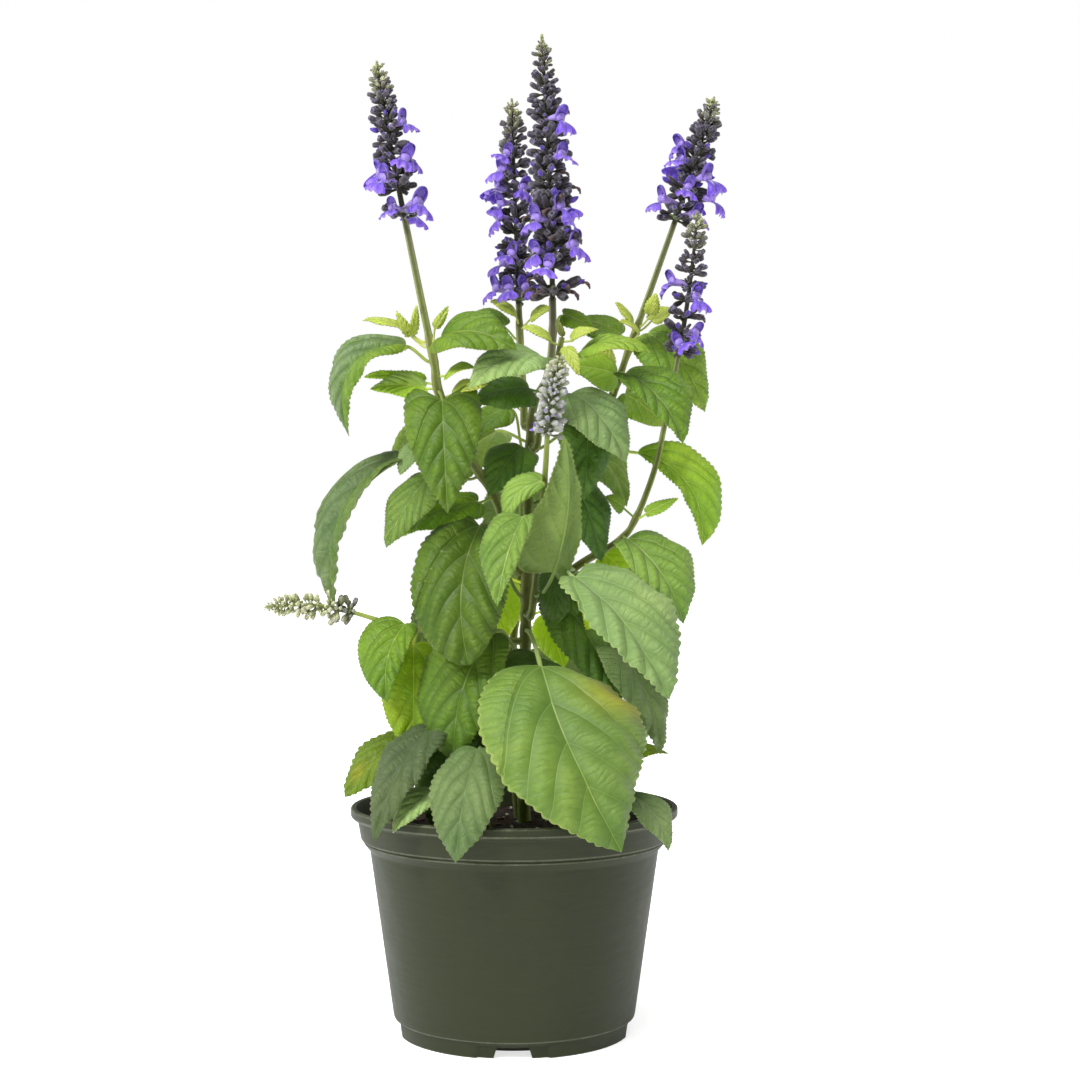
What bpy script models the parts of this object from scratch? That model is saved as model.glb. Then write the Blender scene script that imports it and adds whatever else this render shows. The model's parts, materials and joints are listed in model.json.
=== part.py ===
"""Potted salvia: a nursery pot full of soil, the plant's stems, its leaves and its flower spikes.

Blender works in metres. The sizes and places below are in millimetres, and MM turns them into metres
when a mesh is made. The pot stands on z = 0 with its axis on the z axis. The side that the photograph
shows faces -Y, and +X is on its right.
"""

import math
import random
from typing import NamedTuple

import bpy
import numpy as np

MM = 0.001
GAP = 0.3
UP = np.array((0.0, 0.0, 1.0))

# Pot: radius and height of each corner of the turned wall, outside first, then the lip and the inside
POT_SIDES = 32
POT_OUTSIDE = (
    (46.0, 0.0), (49.0, 5.5), (59.0, 5.5), (60.5, 0.0), (64.2, 0.0), (65.2, 7.8), (66.6, 9.6),
    (79.6, 100.4), (82.8, 104.6), (84.6, 107.0), (86.4, 117.8), (89.0, 118.4),
)
POT_LIP = ((90.0, 120.2), (89.6, 123.0), (88.0, 124.0), (86.6, 123.2))
POT_INSIDE = ((82.8, 106.0), (78.0, 99.6), (63.8, 7.4), (47.9, 7.4), (44.9, 1.9))
NOTCHES = 4
NOTCH_WIDTH, NOTCH_HEIGHT = 19.0, 6.0
NOTCH_FROM, NOTCH_TO = 56.0, 70.0
DRAIN_RADIUS, DRAIN_AT, DRAIN_SIDES = 4.0, 54.5, 12
DRAIN_FROM, DRAIN_TO = 4.0, 9.0

# Soil: its level, the height of its waves, where its surface is divided, and what it keeps from the pot
SOIL_TOP = 112.0
SOIL_WAVE = 1.6
SOIL_RINGS = (30.0, 58.0)
SOIL_EDGE_DROP = 2.0
SOIL_CLEAR = 0.45
HOLE_SLACK, HOLE_SIDES, HOLE_OVER = 0.5, 12, 8.0

# Stems: sides, distance between their rings, and the straight start of a branch
STEM_SIDES = 6
STEM_STEP = 25.0
STUB = 5.0

# Blades: thickness, depth of the rib underneath, teeth, and the two powers that shape the outline
BLADE_THICKNESS = 0.7
RIB_DEPTH = 0.5
TOOTH = 0.085
WIDEST_AT = 0.36
BASE_ROUND, TIP_SHARP = 0.50, 0.89
TIP_CROWDING = 1.1
LONG_BLADE, MIDDLE_BLADE, SMALL_BLADE = 76.0, 48.0, 24.0
LONG_STATIONS, MIDDLE_STATIONS, SHORT_STATIONS = 11, 9, 7
SPRIG_STATIONS, SMALL_STATIONS = 5, 4

# Petioles: half width and its growth with the blade, depth for its width, pull of the curve at its ends
STALK_HALF, STALK_GROWTH, STALK_DEPTH = 0.7, 0.012, 0.75
STALK_PULL = 0.9
STALK_STEPS = 2
SHARP_BEND = math.radians(65)
SPRIG_ROOT = 0.8

# Flower spikes: the core, where whorls start and end on it, and how they close up and shrink upwards
CORE_RADIUS, CORE_TIP = 1.9, 0.6
FIRST_WHORL, LAST_WHORL = 0.05, 0.96
WHORL_CROWDING = 0.94
CALYX_SHRINK, SHRINK_POWER = 0.66, 1.7
CALYX_SPREAD = 0.07

# Calyces: height of the root, the widest place, half width for length, share of the room beside it, lean
CALYX_ROOT = 2.6
CALYX_WIDEST = 0.66
CALYX_GIRTH = 0.27
CALYX_ROOM = 0.8
LEAN_LOW, LEAN_TOP, LEAN_SPREAD = 62.0, 34.0, 4.0
STEEPEST = 0.7

# Open flowers: size, radius of the tube, depth of the throat, and the rim from the hood round to the lip,
# each point as shares of the size forwards, sideways and up
FLOWER_SIZE = 10.0
FLOWER_TUBE = 0.9
FLOWER_THROAT = 0.12
HOOD, LIP = (0.78, 0.0, 0.46), (0.62, 0.0, -0.66)
RIM_SIDE = ((0.45, 0.22, 0.34), (0.10, 0.20, 0.02), (0.42, 0.62, -0.35), (0.72, 0.36, -0.85))
WHORL_WEIGHT = 8.0

RANDOM_SEED = 7


class Stem(NamedTuple):
    """A stem: what it grows from, its points from foot to top, and its radius at both ends."""

    parent: str
    points: tuple
    foot_radius: float
    top_radius: float


class Leaf(NamedTuple):
    """A leaf: its stem, the height of its foot there, its blade's two ends, and how the blade lies.

    The upper side looks the way that faces gives. The midrib rises by arch and bends sideways by sway
    over the straight line between its ends, each half is folded up by fold degrees, and the blade
    turns by twist degrees on its way to the tip.
    """

    stem: str
    height: float
    base: tuple
    tip: tuple
    width: float
    faces: tuple
    arch: float = 6.0
    fold: float = 12.0
    twist: float = 0.0
    sway: float = 0.0


class Spike(NamedTuple):
    """A flower spike on top of a stem: tip, girth, whorls, calyces a whorl and open flowers (rise, turn)."""

    stem: str
    tip: tuple
    girth: float
    whorls: int
    sides: int
    flowers: tuple = ()


STEMS = {
    "stem_main": Stem("soil", (
        (6, 5, 94), (5, 4, 130), (5, 3, 170), (6, 4, 214), (7, 5, 259), (8, 6, 300), (10, 6, 342),
        (18, 4, 360), (21, 3, 380), (21, 2, 404)), 4.0, 2.2),
    "stem_back_left": Stem("stem_main", ((9, 6, 334), (5, 16, 350), (3, 26, 380), (2, 30, 404)), 2.4, 1.9),
    "stem_left": Stem("stem_main", (
        (7, 5, 255), (-10, -8, 292), (-26, -19, 317), (-40, -25, 348), (-43, -26, 366), (-50, -26, 400),
        (-59, -25, 444)), 3.2, 2.1),
    "stem_right": Stem("stem_main", (
        (7, 5, 262), (24, 14, 292), (42, 19, 324), (56, 20, 354), (63, 20, 374), (75, 21, 407),
        (90, 20, 449)), 3.2, 2.1),
    "stem_right_low": Stem("stem_main", (
        (6, 5, 238), (34, 2, 255), (58, 0, 270), (67, 0, 282), (77, 3, 307), (83, 6, 332),
        (91, 8, 372)), 2.8, 1.8),
    "stem_front": Stem("stem_main", (
        (6, 5, 229), (12, -9, 250), (15, -22, 284), (17, -34, 308), (18, -42, 326)), 2.4, 1.5),
    "stem_top": Stem("stem_main", ((9, 6, 322), (16, -6, 346), (22, -14, 362), (26, -18, 380)), 2.3, 1.4),
    "stem_side": Stem("stem_main", (
        (6, 4, 214), (-24, -13, 218), (-58, -25, 223), (-86, -30, 231)), 2.2, 1.3),
    "stem_low_left": Stem("soil", (
        (-12, -8, 94), (-17, -16, 125), (-26, -24, 155), (-38, -28, 186)), 2.6, 1.6),
    "stem_low_right": Stem("soil", (
        (24, 4, 94), (34, 2, 125), (44, -2, 160), (50, -4, 206)), 2.6, 1.6),
    "stem_back": Stem("soil", (
        (4, 26, 94), (0, 34, 140), (-2, 40, 200), (4, 44, 260), (10, 46, 330)), 3.4, 1.8),
}

TOWARD_CAMERA = (0, -1, 0.3)

LEAVES = {
    "leaf_left_a": Leaf("stem_left", 366, (-58, -30, 375), (-87, -42, 328), 40, (-0.5, -0.7, 0.7), 18, 20),
    "leaf_left_b": Leaf("stem_left", 350, (-38, -38, 343), (-34, -62, 285), 42, TOWARD_CAMERA, 5, 10),
    "leaf_left_c": Leaf("stem_left", 371, (-39, -33, 379), (2, -50, 370), 38, (0.1, -0.8, 0.7), 8, 10),
    "leaf_left_d": Leaf("stem_left", 328, (-40, 0, 334), (-72, 8, 310), 32, (-0.3, -0.7, 0.8), 6, 8),
    "leaf_left_e": Leaf("stem_left", 316, (-64, -22, 314), (-96, -36, 238), 40, (-0.9, -0.5, 0.5), 14, 14),
    "leaf_left_f": Leaf("stem_left", 306, (-46, -32, 303), (-67, -46, 266), 28, (-0.4, -0.9, 0.5), 4, 10),
    "leaf_left_g": Leaf("stem_left", 294, (-20, -16, 291), (-62, -22, 274), 28, (-0.2, -0.6, 0.8), 5, 10),
    "leaf_back_left_a": Leaf("stem_back_left", 384, (-6, 36, 392), (-32, 44, 396), 26, (0, -0.7, 0.7), 4, 8),
    "leaf_top_a": Leaf("stem_top", 368, (14, -27, 369), (-24, -48, 350), 34, (-0.2, -0.7, 0.7), 9, 8),
    "leaf_top_b": Leaf("stem_top", 350, (8, -14, 353), (-22, -24, 343), 34, (-0.2, -0.8, 0.7), 5, 8),
    "leaf_top_c": Leaf("stem_top", 350, (31, -16, 350), (60, -40, 311), 38, (0.2, -0.8, 0.7), 8, 8),
    "leaf_top_d": Leaf("stem_top", 366, (37, -18, 373), (74, -27, 371), 26, (0.1, -0.5, 0.9), 6, 10),
    "leaf_right_a": Leaf("stem_right", 362, (61, -8, 362), (91, -34, 322), 42, (0.2, -0.7, 0.8), 8, 8),
    "leaf_right_b": Leaf("stem_right", 376, (76, 36, 388), (108, 32, 343), 40, (0.25, -0.9, 0.5), 10, 10),
    "leaf_right_c": Leaf("stem_right", 380, (60, 28, 387), (30, 34, 392), 28, (0, -0.6, 0.8), 5, 8),
    "leaf_right_d": Leaf("stem_right", 322, (74, 30, 318), (106, 22, 267), 40, (0.3, -0.95, 0.3), 14, 10),
    "leaf_right_low_a": Leaf("stem_right_low", 272, (62, -12, 271), (91, -30, 225), 42, (0.4, -0.75, 0.65), 8, 8),
    "leaf_right_low_b": Leaf("stem_right_low", 254, (31, -42, 249), (81, -72, 188), 50, (0.3, -0.75, 0.65), 9, 7),
    "leaf_main_a": Leaf("stem_main", 336, (40, -6, 336), (38, -22, 292), 28, (0.2, -1, 0.3), 4, 8),
    "leaf_main_b": Leaf("stem_main", 308, (4, -8, 321), (-14, -24, 294), 28, (-0.2, -1, 0.4), 4, 8),
    "leaf_main_c": Leaf("stem_main", 318, (-4, 16, 344), (-34, 20, 322), 28, (-0.3, -0.6, 0.8), 4, 8),
    "leaf_main_d": Leaf("stem_main", 290, (32, -2, 303), (48, -10, 258), 30, (0.4, -0.9, 0.3), 5, 8),
    "leaf_main_e": Leaf("stem_main", 238, (-18, -34, 278), (-23, -62, 205), 52, (-0.1, -1, 0.4), 8, 8),
    "leaf_main_g": Leaf("stem_main", 205, (-12, -38, 220), (-31, -54, 155), 42, (-0.3, -1, 0.4), 7, 8),
    "leaf_main_h": Leaf("stem_main", 220, (15, -55, 204), (55, -106, 115), 88, (0.2, -0.75, 0.62), 12, 6, 0, 3),
    "leaf_main_i": Leaf("stem_main", 194, (12, -20, 202), (-4, -32, 174), 32, (0, -1, 0.4), 4, 8),
    "leaf_front_a": Leaf("stem_front", 240, (26, -36, 256), (27, -49, 325), 38, (-0.5, 0.85, 0), -3, 32, 0, -4),
    "leaf_front_b": Leaf("stem_front", 276, (5, -50, 282), (-8, -74, 236), 26, (-0.35, -1, 0.3), 6, 8),
    "leaf_side_a": Leaf("stem_side", 223, (-60, -36, 224), (-66, -56, 185), 31, (-0.3, -1, 0.3), 5, 8),
    "leaf_side_b": Leaf("stem_side", 222, (-54, -26, 211), (-52, -39, 161), 31, (0.1, -1, 0.3), 6, 8),
    "leaf_low_left_a": Leaf("stem_low_left", 184, (-58, -22, 165), (-90, -36, 133), 26, (-0.3, -0.8, 0.7), 5, 8),
    "leaf_low_left_b": Leaf("stem_low_left", 166, (-45, -45, 170), (-70, -88, 117), 31, (-0.4, -0.8, 0.6), 7, 8),
    "leaf_low_left_c": Leaf("stem_low_left", 152, (-18, -64, 161), (-28, -101, 109), 38, (-0.2, -0.9, 0.6), 8, 8),
    "leaf_low_right_a": Leaf("stem_low_right", 200, (56, -18, 212), (78, -48, 157), 36, (0.6, -0.7, 0.5), 7, 8),
    "leaf_back_a": Leaf("stem_back", 206, (4, 66, 204), (24, 110, 128), 66, (0.1, 0.9, 0.6), 10, 8),
    "leaf_back_b": Leaf("stem_back", 252, (-22, 58, 252), (-62, 84, 196), 48, (-0.6, 0.6, 0.6), 9, 8),
    "leaf_back_c": Leaf("stem_back", 246, (32, 60, 250), (74, 84, 200), 48, (0.6, 0.6, 0.6), 9, 8),
    "leaf_back_d": Leaf("stem_back", 300, (2, 66, 302), (2, 100, 240), 44, (0, 1, 0.5), 8, 8),
    "leaf_back_e": Leaf("stem_back", 326, (-12, 54, 334), (-44, 74, 292), 36, (-0.5, 0.7, 0.7), 8, 8),
    "leaf_back_f": Leaf("stem_back", 322, (34, 58, 334), (66, 76, 290), 36, (0.5, 0.7, 0.7), 8, 8),
}

# Small leaves, each fused into its stem
SPRIGS = (
    Leaf("stem_left", 352, (-48, -28, 352), (-76, -30, 352), 20, (-0.1, -0.5, 0.9), 3),
    Leaf("stem_left", 358, (-36, -30, 359), (-20, -38, 362), 13, (0.2, -0.6, 0.8), 2),
    Leaf("stem_left", 374, (-53, -22, 380), (-79, -20, 389), 11, (-0.2, -0.6, 0.8), 4),
    Leaf("stem_left", 375, (-42, -32, 384), (-36, -34, 397), 9, (0.4, -0.8, 0.4), 2),
    Leaf("stem_back_left", 392, (0, 22, 398), (-14, 18, 404), 12, (0, -0.6, 0.8), 2),
    Leaf("stem_back_left", 390, (9, 24, 396), (22, 20, 400), 12, (0, -0.6, 0.8), 2),
    Leaf("stem_top", 376, (20, -24, 380), (7, -28, 386), 11, (0, -0.6, 0.8), 2),
    Leaf("stem_top", 372, (28, -26, 374), (35, -34, 358), 11, (0, -0.9, 0.4), 2),
    Leaf("stem_front", 300, (7, -37, 304), (-5, -41, 278), 16, (-0.4, -0.9, 0.4), 2),
    Leaf("stem_right", 386, (62, 12, 392), (50, 8, 400), 11, (0, -0.6, 0.8), 1),
    Leaf("stem_right", 388, (77, 20, 394), (90, 26, 402), 12, (0, -0.6, 0.8), 1),
    Leaf("stem_right", 344, (62, 16, 352), (84, 18, 334), 26, (0, -0.8, 0.5), 3),
    Leaf("stem_right_low", 262, (50, 12, 262), (66, 16, 244), 22, (0.2, -0.8, 0.4), 3),
    Leaf("stem_right_low", 282, (60, -6, 288), (50, -10, 294), 10, (-0.2, -0.8, 0.5), 1),
    Leaf("stem_right_low", 282, (74, -4, 285), (86, -8, 291), 10, (0.2, -0.8, 0.5), 1),
    Leaf("stem_right_low", 250, (30, -9, 250), (32, -13, 224), 18, (0.2, -1, 0.3), 3),
    Leaf("stem_back", 224, (20, 24, 228), (28, 20, 198), 26, (-0.4, -1, 0.3), 3),
    Leaf("stem_main", 246, (-14, 25, 242), (-15, 36, 208), 22, (0.2, -1, 0.3), 3),
    Leaf("stem_right_low", 258, (43, -12, 246), (46, -15, 210), 22, (0.4, -1, 0.3), 4),
    Leaf("stem_low_left", 138, (-40, -58, 139), (-61, -82, 121), 20, (-0.3, -0.8, 0.6), 5),
    Leaf("stem_low_right", 138, (62, -58, 137), (80, -78, 111), 26, (0.5, -0.7, 0.6), 6),
    Leaf("stem_low_right", 148, (66, 8, 150), (86, 10, 151), 12, (0, -0.4, 0.9), 3),
)

SPIKES = {
    "spike_left": Spike("stem_left", (-74, -25, 528), 10.5, 10, 6, (
        (0.12, 200), (0.10, 330), (0.30, 268), (0.34, 190), (0.40, 340), (0.60, 350))),
    "spike_centre": Spike("stem_main", (15, 2, 550), 12.5, 15, 6, (
        (0.14, 250), (0.20, 200), (0.21, 320), (0.30, 340), (0.32, 215), (0.50, 345), (0.68, 350))),
    "spike_back_left": Spike("stem_back_left", (-2, 30, 521), 10.0, 12, 5, (
        (0.04, 190), (0.06, 260), (0.16, 200), (0.28, 260), (0.42, 200), (0.62, 215), (0.76, 230))),
    "spike_right": Spike("stem_right", (112, 20, 519), 10.5, 10, 6, (
        (0.08, 320), (0.22, 350), (0.18, 190), (0.38, 345), (0.42, 200), (0.60, 190))),
    "spike_right_low": Spike("stem_right_low", (101, 0, 451), 9.0, 10, 5, (
        (0.02, 330), (0.10, 300), (0.42, 190), (0.44, 340))),
    "spike_front": Spike("stem_front", (26, -47, 367), 8.0, 7, 5, ((0.04, 200),)),
    "spike_side": Spike("stem_side", (-133, -34, 234), 6.0, 8, 4),
}

COLOURS = {
    "pot": ((0.055, 0.065, 0.040), 0.45),
    "soil": ((0.012, 0.009, 0.006), 0.95),
    "stem": ((0.16, 0.22, 0.06), 0.55),
    "leaf": ((0.10, 0.21, 0.045), 0.5),
    "calyx": ((0.055, 0.045, 0.075), 0.8),
    "flower": ((0.13, 0.05, 0.55), 0.55),
}


def unit(vector):
    """The vector at length one."""
    vector = np.asarray(vector, float)
    return vector / np.linalg.norm(vector)


def across(vector, along):
    """The part of a vector that stands square to another, at length one."""
    along = unit(along)
    return unit(vector - np.dot(vector, along) * along)


def material(name):
    """The named finish, made once."""
    found = bpy.data.materials.get(name)
    if found:
        return found
    colour, roughness = COLOURS[name]
    made = bpy.data.materials.new(name)
    made.use_nodes = True
    shader = made.node_tree.nodes["Principled BSDF"]
    shader.inputs["Base Color"].default_value = (*colour, 1.0)
    shader.inputs["Roughness"].default_value = roughness
    shader.inputs["Metallic"].default_value = 0.0
    made.diffuse_color = (*colour, 1.0)
    return made


def new_object(name, points, faces, *finishes):
    """An object from points in millimetres. Its faces take the last of its finishes."""
    mesh = bpy.data.meshes.new(name)
    mesh.from_pydata((np.asarray(points) * MM).tolist(), [], [list(map(int, face)) for face in faces])
    for finish in finishes:
        mesh.materials.append(material(finish))
    mesh.polygons.foreach_set("material_index", [len(finishes) - 1] * len(mesh.polygons))
    made = bpy.data.objects.new(name, mesh)
    bpy.context.scene.collection.objects.link(made)
    return made


def smooth_path(points, step):
    """Points about one step apart on the Catmull-Rom curve through the given points."""
    points = np.asarray(points, float)
    ends = np.vstack((2 * points[0] - points[1], points, 2 * points[-1] - points[-2]))
    path = []
    for before, start, end, after in zip(ends, ends[1:], ends[2:], ends[3:]):
        count = max(1, round(np.linalg.norm(end - start) / step))
        t = np.arange(count)[:, None] / count
        path.append(0.5 * (2 * start + (end - before) * t
                           + (2 * before - 5 * start + 4 * end - after) * t**2
                           + (3 * start - before - 3 * end + after) * t**3))
    return np.vstack((*path, points[-1]))


def tube(path, radii, sides, turn=0.0):
    """A closed tube along a path, square to it, with a flat cap at each end."""
    path = np.asarray(path, float)
    tangents = np.gradient(path, axis=0)
    side = across((0.0, 1.0, 0.0) if abs(unit(tangents[0])[1]) < 0.9 else (1.0, 0.0, 0.0), tangents[0])
    angles = turn + 2 * math.pi * np.arange(sides) / sides
    rings = []
    for point, tangent, radius in zip(path, tangents, radii):
        side = across(side, tangent)
        other = np.cross(unit(tangent), side)
        rings.append(point + radius * (np.cos(angles)[:, None] * side + np.sin(angles)[:, None] * other))
    faces = []
    for ring in range(len(path) - 1):
        for i in range(sides):
            a, b = ring * sides + i, ring * sides + (i + 1) % sides
            faces.append((a, b, b + sides, a + sides))
    last = (len(path) - 1) * sides
    faces.append(tuple(range(sides - 1, -1, -1)))
    faces.append(tuple(range(last, last + sides)))
    return np.vstack(rings), faces


def turned(profile, sides):
    """A closed solid turned about z from a profile that starts and ends on the axis."""
    inner = profile[1:-1]
    angles = 2 * math.pi * np.arange(sides) / sides
    points = [np.array((0.0, 0.0, profile[0][1]))]
    for radius, height in inner:
        points += list(np.stack((radius * np.cos(angles), radius * np.sin(angles),
                                 np.full(sides, height)), axis=1))
    points.append(np.array((0.0, 0.0, profile[-1][1])))
    faces = []
    for i in range(sides):
        j = (i + 1) % sides
        faces.append((0, 1 + j, 1 + i))
        for ring in range(len(inner) - 1):
            low, high = 1 + ring * sides, 1 + (ring + 1) * sides
            faces.append((low + i, low + j, high + j, high + i))
        top = 1 + (len(inner) - 1) * sides
        faces.append((top + i, top + j, len(points) - 1))
    return np.array(points), faces


def block(low, high, angle=0.0):
    """A box between two corners, turned about the z axis."""
    corners = np.array([(x, y, z) for x in (low[0], high[0]) for y in (low[1], high[1])
                        for z in (low[2], high[2])])
    c, s = math.cos(angle), math.sin(angle)
    corners = corners @ np.array(((c, s, 0), (-s, c, 0), (0, 0, 1)))
    faces = [(0, 1, 3, 2), (4, 6, 7, 5), (0, 4, 5, 1), (2, 3, 7, 6), (0, 2, 6, 4), (1, 5, 7, 3)]
    return corners, faces


def fuse(body, shapes, finishes, operation="UNION", solver="MANIFOLD"):
    """Join shapes to a body, or cut them from it, with one Boolean, and drop the helper objects."""
    if not shapes:
        return body
    helpers = bpy.data.collections.new(body.name + "_helpers")
    for i, (points, faces) in enumerate(shapes):
        helper = new_object(f"{body.name}_helper_{i}", points, faces, *finishes)
        bpy.context.scene.collection.objects.unlink(helper)
        helpers.objects.link(helper)
    change = body.modifiers.new("fuse", "BOOLEAN")
    change.operation = operation
    change.operand_type = "COLLECTION"
    change.collection = helpers
    change.solver = solver
    bpy.context.scene.collection.children.link(helpers)
    bpy.context.view_layer.update()
    result = bpy.data.meshes.new_from_object(body.evaluated_get(bpy.context.evaluated_depsgraph_get()))
    body.modifiers.clear()
    body.data = result
    for helper in list(helpers.objects):
        bpy.data.objects.remove(helper)
    bpy.data.collections.remove(helpers)
    return body


def build_pot():
    """The pot: a turned wall with a rolled lip, a foot ring with drain notches, and drain holes."""
    profile = ((0.0, 0.0), *POT_OUTSIDE, *POT_LIP, *POT_INSIDE, (0.0, POT_INSIDE[-1][1]))
    pot = new_object("pot", *turned(profile, POT_SIDES), "pot")
    cuts = []
    for i in range(NOTCHES):
        angle = 2 * math.pi * i / NOTCHES
        low, high = (NOTCH_FROM, -NOTCH_WIDTH / 2, -NOTCH_HEIGHT), (NOTCH_TO, NOTCH_WIDTH / 2, NOTCH_HEIGHT)
        cuts.append(block(low, high, angle))
        place = np.array((DRAIN_AT * math.cos(angle), DRAIN_AT * math.sin(angle), 0.0))
        cuts.append(tube((place + DRAIN_FROM * UP, place + DRAIN_TO * UP), (DRAIN_RADIUS,) * 2, DRAIN_SIDES))
    return fuse(pot, cuts, ("pot",), "DIFFERENCE", "EXACT")


def soil_height(x, y):
    """Height of the soil at a place: the level surface with one broad low wave and one finer one."""
    broad = math.sin(0.11 * x + 0.6) * math.cos(0.13 * y - 0.4)
    fine = math.sin(0.21 * x - 0.17 * y)
    return SOIL_TOP + SOIL_WAVE * (broad + 0.5 * fine)


def wall_radius(height):
    """Radius of the inside of the pot at a height."""
    wall = sorted((z, r) for r, z in (*POT_INSIDE[:3], POT_LIP[-1]))
    return float(np.interp(height, [z for z, _ in wall], [r for _, r in wall]))


def build_soil():
    """The soil: it fills the pot up to a low wavy surface, with a plain hole for each stem."""
    edge = SOIL_TOP - SOIL_EDGE_DROP
    floor = [(radius - SOIL_CLEAR, height + SOIL_CLEAR) for radius, height in reversed(POT_INSIDE)]
    profile = [(0.0, POT_INSIDE[-1][1] + SOIL_CLEAR), *floor, (wall_radius(edge) - SOIL_CLEAR, edge)]
    profile += [(radius, SOIL_TOP) for radius in reversed(SOIL_RINGS)] + [(0.0, SOIL_TOP)]
    points, faces = turned(profile, POT_SIDES)
    top = points[:, 2] > edge + GAP
    points[top, 2] = [soil_height(x, y) for x, y, _ in points[top]]
    soil = new_object("soil", points, faces, "soil")
    holes = []
    for stem in STEMS.values():
        if stem.parent == "soil":
            foot, upper = np.array(stem.points[0], float), np.array(stem.points[1], float)
            along = (upper - foot) / (upper - foot)[2]
            path = (foot - GAP * along, foot + (SOIL_TOP + HOLE_OVER - foot[2]) * along)
            holes.append(tube(path, (stem.foot_radius + HOLE_SLACK,) * 2, HOLE_SIDES))
    return fuse(soil, holes, ("soil",), "DIFFERENCE", "EXACT")


class Route(NamedTuple):
    """A stem's sampled path and the radius at each of its points."""

    path: np.ndarray
    radii: np.ndarray

    def at(self, height):
        """The axis point, direction and radius where the stem passes a height."""
        i = int(np.clip(np.searchsorted(self.path[:, 2], height), 1, len(self.path) - 1))
        low, high = self.path[i - 1], self.path[i]
        share = float(np.clip((height - low[2]) / (high[2] - low[2]), 0, 1))
        radius = self.radii[i - 1] + share * (self.radii[i] - self.radii[i - 1])
        return low + share * (high - low), unit(high - low), radius


def side_of(route, height, toward):
    """A point a gap away from a stem's side, on the side that faces a place, and the way out."""
    axis, tangent, radius = route.at(height)
    out = across(np.asarray(toward, float) - axis, tangent)
    return axis + out * (radius + GAP), out


def stem_routes():
    """The sampled path of each stem. A branch starts a gap away from its parent's side."""
    routes = {}
    for name, stem in STEMS.items():
        points = [np.asarray(point, float) for point in stem.points]
        if stem.parent in routes:
            foot, out = side_of(routes[stem.parent], points[0][2], points[1])
            points[0] = foot
            points.insert(1, foot + STUB * out)
        path = smooth_path(points, STEM_STEP)
        radii = np.linspace(stem.foot_radius, stem.top_radius, len(path))
        routes[name] = Route(path, radii)
    return routes


def half_width(t, teeth):
    """Half the width of a blade, as a share of its widest, at a share t of its length."""
    outline = (t / WIDEST_AT) ** BASE_ROUND * ((1 - t) / (1 - WIDEST_AT)) ** TIP_SHARP
    return outline * (1 + TOOTH * teeth)


def petiole_line(foot, out, base, start, steps):
    """Points of a smooth curve that leaves a stem's side along out and reaches the blade along start."""
    u = np.arange(steps)[:, None] / steps
    pull = STALK_PULL * math.dist(base, foot)
    return ((2 * u**3 - 3 * u**2 + 1) * foot + (u**3 - 2 * u**2 + u) * pull * out
            + (3 * u**2 - 2 * u**3) * base + (u**3 - u**2) * pull * start)


def leaf_normals(tangents, faces_way, steps):
    """The way up at each section: towards faces_way on the blade, and carried down the petiole from there."""
    normals = [across(faces_way, tangent) for tangent in tangents[steps:]]
    for tangent in reversed(tangents[:steps]):
        normals.insert(0, across(normals[0], tangent))
    return np.array(normals)


def leaf_faces(sections):
    """Triangles of a closed strip of six-point sections, split alike on the upper and the lower side."""
    faces = []
    for section in range(sections - 1):
        a, b = section * 6, (section + 1) * 6
        for i in (0, 1, 2, 5):
            j = (i + 1) % 6
            faces += [(a + i, a + j, b + j), (a + i, b + j, b + i)]
        for i in (3, 4):
            faces += [(a + i, a + i + 1, b + i), (a + i + 1, b + i + 1, b + i)]
    last = (sections - 1) * 6
    faces += [(0, 5, 1), (5, 4, 1), (4, 2, 1), (4, 3, 2)]
    faces += [(last + a, last + b, last + c) for a, b, c in ((1, 5, 0), (1, 4, 5), (1, 2, 4), (2, 3, 4))]
    return faces


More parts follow.
